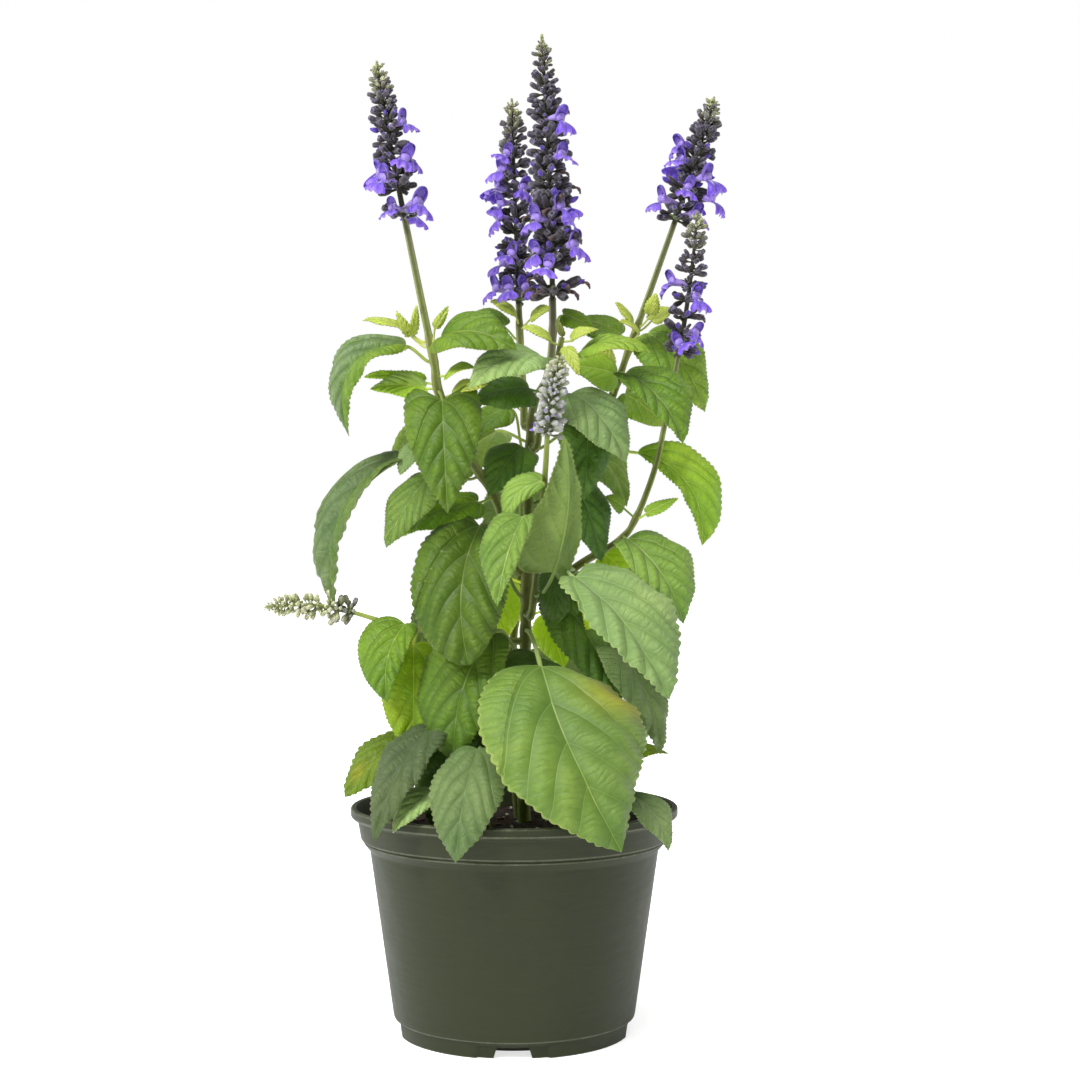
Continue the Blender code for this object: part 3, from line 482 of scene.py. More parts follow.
class Effects:
    """The shader node groups that several finishes use."""

    FINER, FINE_SHARE = 3.7, 0.4
    MIDRIB, SIDE = 0.6, 0.42
    REACH, RUNG, WANDER, FAR = 0.06, 3.6, 2.2, 99.0

    def __init__(self) -> None:
        """Builds each group once."""
        self.veins = self.build_veins()
        self.mottle = self.build_mottle()

    def mottled(self, board: Board, size: float, contrast: float) -> Socket:
        """The mottle group placed in a material, with its own size in millimetres."""
        return board.node("Group", {"node_tree": self.mottle}, Size=size, Contrast=contrast).outputs[0]

    def build_mottle(self) -> bpy.types.NodeTree:
        """Uneven colour: the weighted mean of a coarse noise and a finer one, stretched in contrast."""
        board, given, out = new_group("Mottle", {"Size": 10.0, "Contrast": 2.0}, ("Mask",))
        place, scale = board.place(), board.math("DIVIDE", 1 / MM, given.outputs["Size"])
        coarse = board.grain(scale, 2.0, place)
        fine = board.grain(board.times(scale, self.FINER), 1.0, place)
        both = board.math("MULTIPLY_ADD", fine, self.FINE_SHARE, board.times(coarse, 1 - self.FINE_SHARE))
        centred = board.math("SUBTRACT", both, 0.5)
        mask = board.math("MULTIPLY_ADD", centred, given.outputs["Contrast"], 0.5)
        board.fill(out, Mask=board.math("MINIMUM", board.math("MAXIMUM", mask, 0.0), 1.0))
        return board.tree

    def build_veins(self) -> bpy.types.NodeTree:
        """The net of a leaf's veins, from the place along its midrib and off it in shares of its length.

        Side veins are the curves a + VEIN_SLOPE d + VEIN_BEND d^2, the outer pair OUTER_SLOPE d +
        OUTER_BEND d^2. A line's mask falls off with the distance to it, and a pillow is a dome x * (2 - x)
        over the share x of that distance, so that it meets the vein in a crease. Cells are the small cushions
        between the rungs of finer veins, a RUNG apart, that cross from one side vein to the next. No side
        vein starts before the blade does: the distance to one that would is FAR.
        """
        board, given, out = new_group("Leaf veins", {"Along": 0.0, "Off": 0.0, "Length": 50.0},
                                      ("Midrib", "Side", "Cell", "Pillow"))
        along, length = given.outputs["Along"], given.outputs["Length"]
        off = board.math("ABSOLUTE", given.outputs["Off"])

        def distance(slope: float, bend: float, step: float) -> tuple[Socket, Socket]:
            """The share along of the vein's start, and the distance to the nearest one in millimetres."""
            bow = board.times(off, board.math("MULTIPLY_ADD", off, bend, slope))
            start = board.math("SUBTRACT", along, bow)
            tilt = board.math("MULTIPLY_ADD", off, 2 * bend, slope)
            steep = board.math("SQRT", board.math("MULTIPLY_ADD", tilt, tilt, 1.0))
            nearest = board.math("PINGPONG", start, step / 2) if step else board.math("ABSOLUTE", start)
            return start, board.times(nearest, board.math("DIVIDE", length, steep))

        start, side = distance(VEIN_SLOPE, VEIN_BEND, VEIN_STEP)
        _, outer = distance(OUTER_SLOPE, OUTER_BEND, 0.0)
        before = board.rest(board.ease(start, -0.06, -0.03))
        side = board.math("ADD", side, board.times(before, self.FAR))
        middle = board.times(off, length)
        thick = board.scaled(along, 0.9, 0.35)

        def line(way: Socket, width: float) -> Socket:
            """A line of a width in millimetres, thinner towards the tip."""
            return board.rest(board.ease(way, 0.0, board.times(thick, width)))

        def dome(way: Socket, reach: Any) -> Socket:
            """x * (2 - x), where x is the way as a share of the reach, 1 at most."""
            share = board.math("MINIMUM", board.math("DIVIDE", way, reach), 1.0)
            return board.times(share, board.math("SUBTRACT", 2.0, share))

        reach = board.times(length, self.REACH)
        spot = board.node("CombineXYZ", X=board.times(along, length), Y=middle).outputs[0]
        wander = board.grain(0.13, 1.0, spot)
        ladder = board.times(length, board.math("MULTIPLY_ADD", off, 0.3, along))
        ladder = board.math("ADD", board.math("DIVIDE", ladder, self.RUNG), board.times(wander, self.WANDER))
        between = dome(board.math("PINGPONG", ladder, 0.5), 0.5)
        net = board.node("TexVoronoi", {"feature": "DISTANCE_TO_EDGE"}, Vector=spot, Scale=0.7).outputs[0]
        board.fill(out, Midrib=line(middle, self.MIDRIB),
                   Side=board.math("MAXIMUM", line(side, self.SIDE), line(outer, self.SIDE)),
                   Cell=board.times(board.scaled(between, 0.4, 1.0), board.scaled(dome(net, 0.3), 0.75, 1.0)),
                   Pillow=board.times(dome(middle, reach), dome(side, reach), dome(outer, reach)))
        return board.tree


def new_finish(name: str) -> tuple[Material, Board, bpy.types.Node]:
    """A new material, the board of its tree and its Principled shader."""
    made = bpy.data.materials.new(name)
    made.use_nodes = True
    return made, Board(made.node_tree), made.node_tree.nodes["Principled BSDF"]


@dataclass(frozen=True)
class LeafFinish:
    """A leaf's colours: its face and the hollows by its veins, which are darker as painted shade in the
    creases, its veins, its underside and its rim, which is partly the margin's own pale colour and partly a
    painted highlight where light comes through the edge.

    Glow is the share of the light that scatters inside it, dullness its roughness, and through the strength
    of a painted glow that stands for light from behind passing through a thin bright leaf. The two DOWN
    colours are those of pale down with a painted grazing sheen on one half of a leaf, and GOLD is the colour
    of its yellow stain.
    """

    face: Colour
    # hollow: painted shade, the darker colour of the creases by the veins
    hollow: Colour
    vein: Colour
    under: Colour
    # rim: the margin's own pale colour, partly a painted highlight of light through the edge
    rim: Colour
    glow: float = 0.35
    dullness: float = 0.48
    # through: strength of the painted glow that stands for light from behind
    through: float = 0.0

    RELIEF, GRAIN = 1.25, 0.1
    GROWN = 55.0
    # The down colours: pale down with a painted grazing sheen on it.
    DOWN_DARK, DOWN_LIGHT, GOLD = rgb(88, 114, 70), rgb(142, 164, 122), rgb(184, 172, 6)

    def build(self, name: str, effects: Effects) -> Material:
        """The material: pillows lighter than the hollows, whose darker colour is painted shade, pale veins,
        and a paler underside with raised veins.

        On a leaf shorter than GROWN millimetres the pillows show less.

        Args:
            name: The material's name.
            effects: The shared node groups.

        Returns:
            The material.
        """
        finish, board, shader = new_finish(name)
        along, off, length, upper, shade = board.values("along", "off", "length", "upper", "shade")
        net = board.node("Group", {"node_tree": effects.veins}, Along=along, Off=off, Length=length).outputs
        patches, drift = effects.mottled(board, 9.0, 3.0), board.noise(38.0, 1.0)
        grown = board.math("MINIMUM", board.math("DIVIDE", length, self.GROWN), 1.0)
        # Painted shade: the creases by the veins take the darker hollow colour and the pillows between them
        # the face's, broken up by mottle.
        lit_pillows = board.times(board.scaled(net["Pillow"], 0.3, 1.0), board.scaled(net["Cell"], 0.62, 1.0),
                            board.scaled(patches, 0.5, 1.0))
        lit_pillows = board.rest(board.times(board.rest(lit_pillows), grown))
        midrib, side = (board.times(net[key], board.value("veins")) for key in ("Midrib", "Side"))
        top = board.layers(board.mix(lit_pillows, self.hollow, self.face), (board.times(side, 0.38), self.vein),
                           (board.times(midrib, 0.6), self.vein))
        below = board.layers(board.mix(board.times(patches, 0.4), self.under, self.face),
                             (board.times(board.rest(net["Cell"]), 0.15), self.vein),
                             (board.times(board.math("MAXIMUM", midrib, side), 0.6), self.vein))
        colour = board.layers(board.mix(upper, below, top),
                              # The rim: the margin's own pale colour, partly a painted highlight of light
                              # through the edge.
                              (board.times(board.ease(board.value("edge"), 0.965, 1.0), 0.6), self.rim),
                              # Frost: pale down with a painted grazing sheen on one half, darker in the
                              # painted-shade creases.
                              (board.times(board.value("frost"), board.scaled(patches, 0.6, 1.0)),
                               board.mix(lit_pillows, self.DOWN_DARK, self.DOWN_LIGHT)),
                              (board.value("gold"), self.GOLD))
        # Shade sets each leaf's lightness: its own tone together with painted light and shade for where it
        # sits in the plant.
        level = board.times(board.scaled(shade, 0.4, 1.6), board.scaled(drift, 0.74, 1.26))
        hue = board.scaled(drift, 0.515, 0.475)
        light = board.node("HueSaturation", Color=colour, Value=level, Hue=hue).outputs[0]
        relief = board.times(net["Pillow"], board.scaled(net["Cell"], 0.45, 1.0),
                             board.math("MULTIPLY_ADD", upper, 2.0, -1.0), grown)
        board.fill(shader, Base_Color=light,
                   Roughness=board.scaled(patches, self.dullness - 0.08, self.dullness + 0.1),
                   Normal=board.bump(board.noise(0.8, 1.0), self.GRAIN, board.bump(relief, self.RELIEF)),
                   # Emission: a painted glow for light from behind coming through the leaf, where through is
                   # above 0 and the leaf is light.
                   Emission_Color=board.mix(board.ease(shade, 0.6, 1.0), (0.0, 0.0, 0.0), light),
                   Emission_Strength=self.through, Sheen_Weight=0.06, Sheen_Roughness=0.45,
                   Specular_IOR_Level=0.35, Subsurface_Weight=self.glow, Subsurface_Radius=(0.8, 1.0, 0.25),
                   Subsurface_Scale=0.001)
        return finish


LEAF_FINISHES = {
    # The deep tone: a darker copy of the leaf finish, painted shade for leaves deep in the plant.
    DEEP_SHADED: LeafFinish(rgb(88, 130, 34), rgb(48, 84, 14), rgb(120, 150, 62), rgb(96, 128, 56),
                     rgb(98, 130, 46)),
    MID: LeafFinish(rgb(110, 148, 26), rgb(64, 102, 8), rgb(162, 184, 88), rgb(112, 142, 60),
                    rgb(140, 160, 62)),
    SAGE: LeafFinish(rgb(122, 154, 62), rgb(76, 112, 32), rgb(168, 188, 110), rgb(112, 140, 66),
                     rgb(158, 176, 96)),
    DOWNY: LeafFinish(rgb(128, 154, 92), rgb(88, 118, 56), rgb(158, 180, 120), rgb(112, 138, 78),
                      rgb(158, 176, 104), dullness=0.56),
    FRESH: LeafFinish(rgb(134, 168, 44), rgb(86, 128, 18), rgb(184, 202, 100), rgb(134, 164, 74),
                      rgb(176, 190, 84)),
    # The lit tone: a yellower copy that paints light coming through the leaf from behind, with a painted
    # glow.
    LIT: LeafFinish(rgb(130, 162, 20), rgb(94, 130, 6), rgb(176, 186, 66), rgb(146, 164, 34),
                    rgb(164, 166, 44), glow=0.5, through=0.26),
    YOUNG: LeafFinish(rgb(176, 192, 78), rgb(148, 168, 50), rgb(198, 206, 118), rgb(178, 190, 94),
                      rgb(150, 130, 74), glow=0.5),
}


class Finishes:
    """Every material of the plant and its pot."""

    def __init__(self) -> None:
        """Builds the node groups and then each material."""
        self.effects = Effects()
        self.leaves = {tone: look.build(f"leaf {tone.value}", self.effects)
                       for tone, look in LEAF_FINISHES.items()}
        self.stem = self.build_stem()
        self.calyx = self.build_calyx()
        self.petal = self.build_petal()
        self.pot = self.build_pot()
        self.soil = self.build_soil()
        self.perlite = self.build_grit("perlite", rgb(226, 224, 216), rgb(178, 174, 162))
        self.bark = self.build_grit("bark", rgb(96, 66, 42), rgb(44, 30, 22))
        self.floor = self.build_floor()

    def build_stem(self) -> Material:
        """Stem skin: painted shade on the hollow sides and a painted highlight on the corners, brown at the
        nodes, violet near the flowers.
        """
        finish, board, shader = new_finish("stem")
        streaks, corner = self.effects.mottled(board, 3.0, 2.6), board.value("corner")
        colour = board.layers(board.mix(streaks, rgb(96, 114, 38), rgb(136, 150, 62)),
                              # Painted shade: the hollow sides between the corners are darker.
                              (board.times(board.ease(corner, 0.7, 0.1), 0.55), rgb(66, 66, 32)),
                              (board.value("flush"), rgb(84, 76, 70)),
                              (board.value("fresh"), rgb(156, 174, 78)),
                              # Painted highlight: a pale line along each corner.
                              (board.times(board.ease(corner, 0.55, 0.95), 0.65), rgb(156, 164, 110)),
                              (board.times(board.value("node"), 0.22), rgb(100, 84, 44)))
        board.fill(shader, Base_Color=colour, Roughness=board.scaled(streaks, 0.48, 0.66),
                   Normal=board.bump(board.noise(0.7, 2.0), 0.15), Specular_IOR_Level=0.35)
        return finish

    def build_calyx(self) -> Material:
        """Felted calyces: olive with dark violet ends, pale hair and painted highlights on their ribs and at
        their ends' edges, painted shade in their openings, cream-green while they are young.
        """
        finish, board, shader = new_finish("calyx")
        reach, youth, tint, frost, rib = board.values("reach", "youth", "tint", "frost", "rib")
        felt, blotch = self.effects.mottled(board, 0.7, 6.0), self.effects.mottled(board, 3.2, 3.5)
        violet = board.times(board.ease(reach, 0.55, 0.84), board.scaled(tint, 0.1, 1.0))
        ripe = board.layers(board.mix(board.ease(reach, 0.25, 0.6), rgb(56, 56, 30), rgb(46, 38, 34)),
                            (violet, rgb(26, 16, 56)))
        grey = board.mix(board.ease(reach, 0.3, 0.9), rgb(76, 78, 50), rgb(58, 48, 74))
        young = board.mix(board.ease(reach, 0.2, 0.9), rgb(132, 144, 76), rgb(194, 198, 136))
        lilac = board.times(board.ease(tint, 0.7, 0.95), board.ease(reach, 0.85, 1.0))
        wool = board.layers(board.mix(board.ease(reach, 0.4, 0.9), rgb(128, 142, 98), rgb(186, 188, 178)),
                            (lilac, rgb(104, 92, 170)))
        # Painted highlight: a pale edge at the end of each calyx, with some pale hair.
        brim_highlight = board.times(board.ease(reach, 0.86, 0.95), board.scaled(tint, 0.08, 0.42))
        # Painted shade: the calyx's opening is darkened, unless the calyx is young or woolly.
        mouth = board.times(board.ease(reach, 0.985, 0.995), board.rest(board.math("MAXIMUM", youth, frost)))
        # Pale hair along the ribs, partly a painted highlight.
        hairs_and_highlight = board.times(felt, rib, board.ease(reach, 0.3, 0.9), 0.34)
        # The opening's colour: near black as painted shade, violet on some calyces.
        inner = board.mix(board.ease(tint, 0.7, 0.85), rgb(22, 17, 22), rgb(64, 40, 136))
        colour = board.layers(ripe, (board.value("greying"), grey), (youth, young),
                              (board.times(frost, board.scaled(youth, 1.0, 0.4)), wool),
                              (board.value("leafy"), rgb(112, 132, 56)),
                              (hairs_and_highlight, rgb(178, 170, 190)), (brim_highlight, rgb(172, 164, 180)), (mouth, inner))
        level = board.scaled(blotch, board.scaled(frost, 0.46, 0.8), 1.28)
        board.fill(shader, Base_Color=board.node("HueSaturation", Color=colour, Value=level).outputs[0],
                   Roughness=board.scaled(felt, 0.7, 0.9), Normal=board.bump(board.noise(0.35, 1.0), 0.25),
                   Sheen_Weight=0.25, Sheen_Roughness=0.5, Subsurface_Weight=0.15,
                   Subsurface_Radius=(1.0, 0.9, 0.8), Subsurface_Scale=0.001)
        return finish

    def build_petal(self) -> Material:
        """Corollas: violet-blue, darker on the hood and in the lip's middle, white-streaked at the throat."""
        finish, board, shader = new_finish("petal")
        grain = self.effects.mottled(board, 1.6, 2.5)
        colour = board.layers(board.mix(board.value("tint"), rgb(62, 30, 150), rgb(96, 56, 200)),
                              (grain, rgb(134, 92, 228)),
                              (board.value("dark"), rgb(48, 24, 124)),
                              (board.value("pale"), rgb(192, 168, 236)),
                              (board.value("white"), rgb(244, 242, 252)),
                              (board.value("faded"), board.mix(grain, rgb(38, 26, 34), rgb(86, 50, 44))))
        board.fill(shader, Base_Color=colour, Roughness=board.scaled(grain, 0.36, 0.6),
                   Normal=board.bump(board.noise(1.3, 2.0), 0.4), Sheen_Weight=0.3, Subsurface_Weight=0.35,
                   Subsurface_Radius=(0.7, 0.5, 1.0), Subsurface_Scale=0.002)
        return finish

    def build_pot(self) -> Material:
        """Moulded plastic: grey-green, satin, with a fine grain, faint flow bands and dust that dulls it."""
        finish, board, shader = new_finish("pot plastic")
        dust, wear = self.effects.mottled(board, 26.0, 1.8), self.effects.mottled(board, 4.0, 3.0)
        # Edges that stand out are lighter: rubbed wear and a painted highlight along the lip, the band and
        # the bead.
        colour = board.layers(board.mix(board.times(dust, 0.5), rgb(38, 44, 20), rgb(50, 57, 29)),
                              (board.times(board.value("wear"), board.scaled(wear, 0.2, 0.62)),
                               rgb(122, 126, 104)))
        bands = board.node("Mapping", Vector=board.place(), Scale=(1.0, 1.0, 6.0)).outputs[0]
        grain = board.bump(board.noise(0.5, 2.0), 0.03)
        board.fill(shader, Base_Color=colour, Roughness=board.scaled(dust, 0.40, 0.54),
                   Normal=board.bump(board.noise(20.0, 1.0, bands), 0.25, grain), Specular_IOR_Level=0.28)
        return finish

    def build_soil(self) -> Material:
        """Peat: near black with brown crumbs, rough."""
        finish, board, shader = new_finish("peat")
        crumbs = self.effects.mottled(board, 2.2, 4.0)
        board.fill(shader, Base_Color=board.mix(crumbs, rgb(20, 15, 12), rgb(58, 42, 32)),
                   Roughness=board.scaled(crumbs, 0.85, 1.0), Normal=board.bump(board.noise(1.2, 4.0), 0.9))
        return finish

    def build_grit(self, name: str, light: Colour, dark: Colour) -> Material:
        """Crumbs in the soil, in two colours mixed by noise."""
        finish, board, shader = new_finish(name)
        mask = self.effects.mottled(board, 1.5, 3.0)
        board.fill(shader, Base_Color=board.mix(mask, dark, light), Roughness=board.scaled(mask, 0.8, 0.95),
                   Normal=board.bump(board.noise(0.6, 3.0), 0.3))
        return finish

    def build_floor(self) -> Material:
        """The pale floor: matt white, with a light of its own that is dimmer as light on the plant."""
        finish, board, shader = new_finish("studio floor")
        seen = board.node("LightPath").outputs["Is Camera Ray"]
        white = board.mix(board.noise(300.0, 1.0), rgb(250, 250, 250), rgb(255, 255, 255))
        board.fill(shader, Base_Color=white, Roughness=0.8, Specular_IOR_Level=0.1, Emission_Strength=0.7,
                   Emission_Color=board.mix(seen, (0.4, 0.4, 0.4), (1.0, 1.0, 1.0)))
        return finish


@dataclass
class Route:
    """A stem's sampled path and the radius at each of its points."""

    path: Array
    radii: Array

    def at(self, height: float) -> tuple[Array, Array, float]:
        """The axis point, the direction and the radius where the stem passes a height."""
        i = int(np.clip(np.searchsorted(self.path[:, 2], height), 1, len(self.path) - 1))
        low, high = self.path[i - 1], self.path[i]
        share = float(np.clip((height - low[2]) / (high[2] - low[2]), 0, 1))
        radius = float(np.interp(share, (0, 1), self.radii[i - 1: i + 1]))
        return low + share * (high - low), unit(high - low), radius

    def side(self, height: float, toward: Array, depth: float = 0.0) -> tuple[Array, Array]:
        """A point on the side that faces a place, a depth under the skin, and the way out there."""
        axis, along, radius = self.at(height)
        out = across(np.asarray(toward, float) - axis, along)
        return axis + out * (radius - depth), out


@dataclass(frozen=True)
class Stem:
    """A stem: what it grows from, its points from foot to top, and its radius at both ends.

    Its section is a square with soft corners and hollow sides: radius * (1 - HOLLOW * cos 4a). Flush is the
    violet of its upper part and fresh the pale green of a young stem, both from 0 to 1.
    """

    name: str
    parent: str
    points: tuple[Point, ...]
    foot_radius: float
    top_radius: float
    flush: float = 0.0
    fresh: float = 0.0

    STEP = 2.5
    SIDES = 24
    HOLLOW = 0.11
    NODE_SWELL, NODE_LENGTH = 0.2, 2.6
    FLUSHED, FRESHENED = (0.62, 1.0), (0.3, 0.8)

    def route(self, routes: dict[str, Route]) -> Route:
        """The stem's path. A branch starts inside its parent's side and leaves it square."""
        points = [np.asarray(point, float) for point in self.points]
        if self.parent in routes:
            skin, out = routes[self.parent].side(points[0][2], points[1])
            points[0] = skin - ROOT * out
            points.insert(1, skin + (GAP + STUB) * out)
        path = smooth_path(points, self.STEP)
        return Route(path, np.linspace(self.foot_radius, self.top_radius, len(path)))

    def build(self, route: Route, joints: Sequence[float], finishes: Finishes) -> None:
        """Makes the stem with a swelling at each height where leaves or branches leave it.

        Args:
            route: The stem's path.
            joints: The heights of its nodes.
            finishes: The materials.
        """
        heights = route.path[:, 2]
        nodes = sum((bell(heights, joint, self.NODE_LENGTH) for joint in joints), np.zeros(len(heights)))
        nodes = np.minimum(nodes, 1.0)
        patch = tube(route.path, route.radii * (1 + self.NODE_SWELL * nodes), self.SIDES, AWAY,
                     lambda angle: 1 - self.HOLLOW * np.cos(4 * angle))
        share = np.linspace(0, 1, len(heights))
        patch.with_values(corner=0.5 - 0.5 * np.cos(4 * patch.values["angle"]),
                          node=np.repeat(nodes, self.SIDES),
                          flush=np.repeat(self.flush * ease(*self.FLUSHED, share), self.SIDES),
                          fresh=np.repeat(self.fresh * ease(*self.FRESHENED, share), self.SIDES))
        make_piece("stalk_" + self.name, patch, finishes.stem, Slot.STEM, "stem_" + self.name)


@dataclass(frozen=True)
class Leaf:
    """A leaf: where it grows and lies, as its solid does, and how its surface looks.

    The upper side looks the way that faces gives. The midrib rises by arch and bends sideways by sway
    over the straight line between its ends. Each half is folded up by fold degrees, times FOLD_MORE where
    that is less than FLAT, and droops towards its margin by CUP. The base's lobes reach back by lobe, as a
    share of the length. Pillows stand quilt high between the veins of a blade FULL long, and the margin
    waves by wave. The blade is widest at the share widest of its length, and side veins open out on blades
    wider than SPREAD of their length. The powers round and point shape the base and the tip, skew makes the
    left half narrower, and teeth sets the teeth's size.

    Shade is the leaf's lightness, its own tone together with the light and shade that are painted for its
    place in the plant, and veins how strongly they show, both from 0 to 1. Gold is a yellow stain: its share
    of the length, its place across from 1 on the left to -1 on the right, and its strength. Frost is pale
    down with a painted grazing sheen on the left half, or on the right one where it is below 0. Left and
    right are those of a leaf that hangs with its tip down.
    """

    name: str
    stem: str
    height: float
    base: Point
    tip: Point
    width: float
    faces: Point
    arch: float = 6.0
    fold: float = 12.0
    sway: float = 0.0
    tone: Tone = MID
    lobe: float = 0.1
    quilt: float = 0.9
    wave: float = 1.1
    widest: float = 0.31
    shade: float = 0.5
    gold: Point | None = None
    round: float = 0.47
    point: float = 1.0
    skew: float = 0.0
    teeth: float = 1.0
    frost: float = 0.0
    veins: float = 1.0

    THICKNESS = 0.4
    FOLD_MORE, FLAT = 1.7, 16
    CUP, SPREAD, FULL = 0.8, 0.6, 60
    TOOTH, TOOTH_PITCH, TOOTH_STATIONS = 0.34, (1.9, 3.9), 4.6
    COLUMN = 2.4
    WAVES = (3.6, 4.1)
    DENT, DENT_SIZE = 0.6, 14.0
    GOLD_LONG, GOLD_WIDE = 0.13, 0.4
    STALK_HALF, STALK_GROWTH, STALK_PULL = 0.5, 0.007, 0.9
    STALK_STATIONS, RIB_STATIONS, STALK_SIDES = 16, 18, 8

    @property
    def length(self) -> float:
        """The distance between the blade's two ends."""
        return math.dist(self.base, self.tip)

    def seed(self) -> int:
        """A number of the leaf's own, for its waves."""
        return sum(ord(letter) * (place + 3) for place, letter in enumerate(self.name))

    def outline(self, s: Array) -> Array:
        """Half the width at a share s of the length: s^round * (1 - s^m)^point, over its value at the widest.

        The power m is the one for which s^m = round / (round + m * point) holds at the widest place.
        """
        powers = np.linspace(0.2, 9.0, 600)
        places = (self.round / (self.round + powers * self.point)) ** (1 / powers)
        power = float(np.interp(self.widest, places, powers))
        share = np.append(np.clip(s, 0, 1), self.widest)
        grown = share**self.round * (1 - share**power) ** self.point
        return np.maximum(0.5 * self.width * grown[:-1] / grown[-1], 0.15)

    def stations(self) -> tuple[Array, Array, float]:
        """Shares of the length evenly spaced along the margin, the margin so far, and the teeth's pitch."""
        s = np.linspace(0, 1, 600)
        steps = np.hypot(np.diff(s) * self.length, np.diff(self.outline(s)))
        margin = np.concatenate(((0.0,), np.cumsum(steps)))
        pitch = float(np.clip(self.length / 24, *self.TOOTH_PITCH)) * self.teeth
        count = int(np.clip(margin[-1] / pitch * self.TOOTH_STATIONS, 26, 180))
        even = np.linspace(0, margin[-1], count)
        return np.interp(even, margin, s), even, pitch

    def pillow(self, s: Array, off: Array) -> Array:
        """Height of the pillows between the veins, from 0 on a vein to 1, by the distance to each vein."""
        off = np.abs(off)
        start = s - VEIN_SLOPE * off - VEIN_BEND * off**2
        tilt = np.sqrt(1 + (VEIN_SLOPE + 2 * VEIN_BEND * off) ** 2)
        nearest = np.abs(start - VEIN_STEP * np.round(start / VEIN_STEP)) / tilt
        side = np.where(start > -0.05, nearest, 1.0)
        tilt = np.hypot(1, OUTER_SLOPE + 2 * OUTER_BEND * off)
        outer = np.abs(s - OUTER_SLOPE * off - OUTER_BEND * off**2) / tilt
        return ease(0, 0.085, side) * ease(0, 0.07, outer) * ease(0, 0.07, off)

    def lie(self, s: Array) -> tuple[Array, Array, Array, Array]:
        """The midrib's points, directions, sideways vectors and upward vectors at shares of the length."""
        base, chord = np.asarray(self.base, float), np.subtract(self.tip, self.base).astype(float)
        up = across(self.faces, chord)
        bend = self.arch * up + self.sway * np.cross(unit(chord), up)
        middle = base + s[:, None] * chord + (4 * s * (1 - s))[:, None] * bend
        along = unit(chord + (4 * (1 - 2 * s))[:, None] * bend)
        normal = across(up, along)
        return middle, along, np.cross(along, normal), normal

    def blade(self) -> Patch:
        """The blade.

        A point lies at midrib + lateral * side + rise * normal - back * along. Lateral runs from margin to
        margin, rise is the fold, its droop, the margin's waves, the pillows and some dents, and back is the
        lobes'. Teeth push the margin outwards by 1 - |2f^1.6 - 1|^2.2, where f is the share within a tooth.
        """
        s, margin, pitch = self.stations()
        middle, along, side, normal = self.lie(s)
        columns = int(np.clip(round(self.width / self.COLUMN), 9, 37)) | 1
        k = np.linspace(-1, 1, columns)
        v = 0.3 * k + 0.7 * np.sin(0.5 * math.pi * k)
        edge, half = np.abs(v), self.outline(s)
        fold = math.radians(self.FOLD_MORE * self.fold if self.fold < self.FLAT else self.fold)
        lateral = v * (1 - self.skew * np.sign(v)) * half[:, None]
        off = lateral / self.length * min(1.0, self.SPREAD * self.length / self.width)

        share = np.mod(margin / pitch, 1.0)
        uneven = 1 + 0.35 * lattice_noise(np.stack((margin, margin * 0), axis=-1), 5.0, self.seed() % 97)
        tooth = (1 - np.abs(2 * share**1.6 - 1) ** 2.2) * uneven * ease(0.03, 0.1, s) * ease(1.0, 0.93, s)
        reach = self.TOOTH * pitch * tooth[:, None] * np.sign(v) * edge**12

        phase = np.random.default_rng(self.seed()).uniform(0, 2 * math.pi, 2)
        right, left = (np.sin(margin[:, None] / size + start) for size, start in zip(self.WAVES, phase))
        spots = np.stack(np.broadcast_arrays(s[:, None] * self.length, lateral), axis=-1)
        rise = np.abs(lateral) * (math.sin(fold) - self.CUP * 0.5 * v**2)
        wave = self.wave * np.where(v < 0, right, left) * edge**2.5
        rise = rise + wave * np.sqrt(half / half.max())[:, None]
        rise = rise + self.quilt * self.length / self.FULL * (self.pillow(s[:, None], off) - 0.4)
        rise = rise + self.DENT * lattice_noise(spots, self.DENT_SIZE, self.seed() % 89)
        back = self.lobe * self.length * edge**1.5 * (np.sqrt(s) * (1 - s) ** 6 / 0.171)[:, None]
        points = (middle[:, None] + (math.cos(fold) * lateral + reach)[..., None] * side[:, None]
                  + rise[..., None] * normal[:, None] - back[..., None] * along[:, None])

        gold = np.zeros_like(off)
        if self.gold:
            stained, place, strength = self.gold
            gold = bell(s[:, None], stained, self.GOLD_LONG) * bell(v, place, self.GOLD_WIDE) * strength
        # Frost: pale down together with a painted grazing sheen on one half of the blade.
        frost = abs(self.frost) * ease(-0.02, 0.06, v * np.sign(self.frost))
        return shell(points, self.THICKNESS, along=s[:, None], off=off, edge=edge, gold=gold, frost=frost)

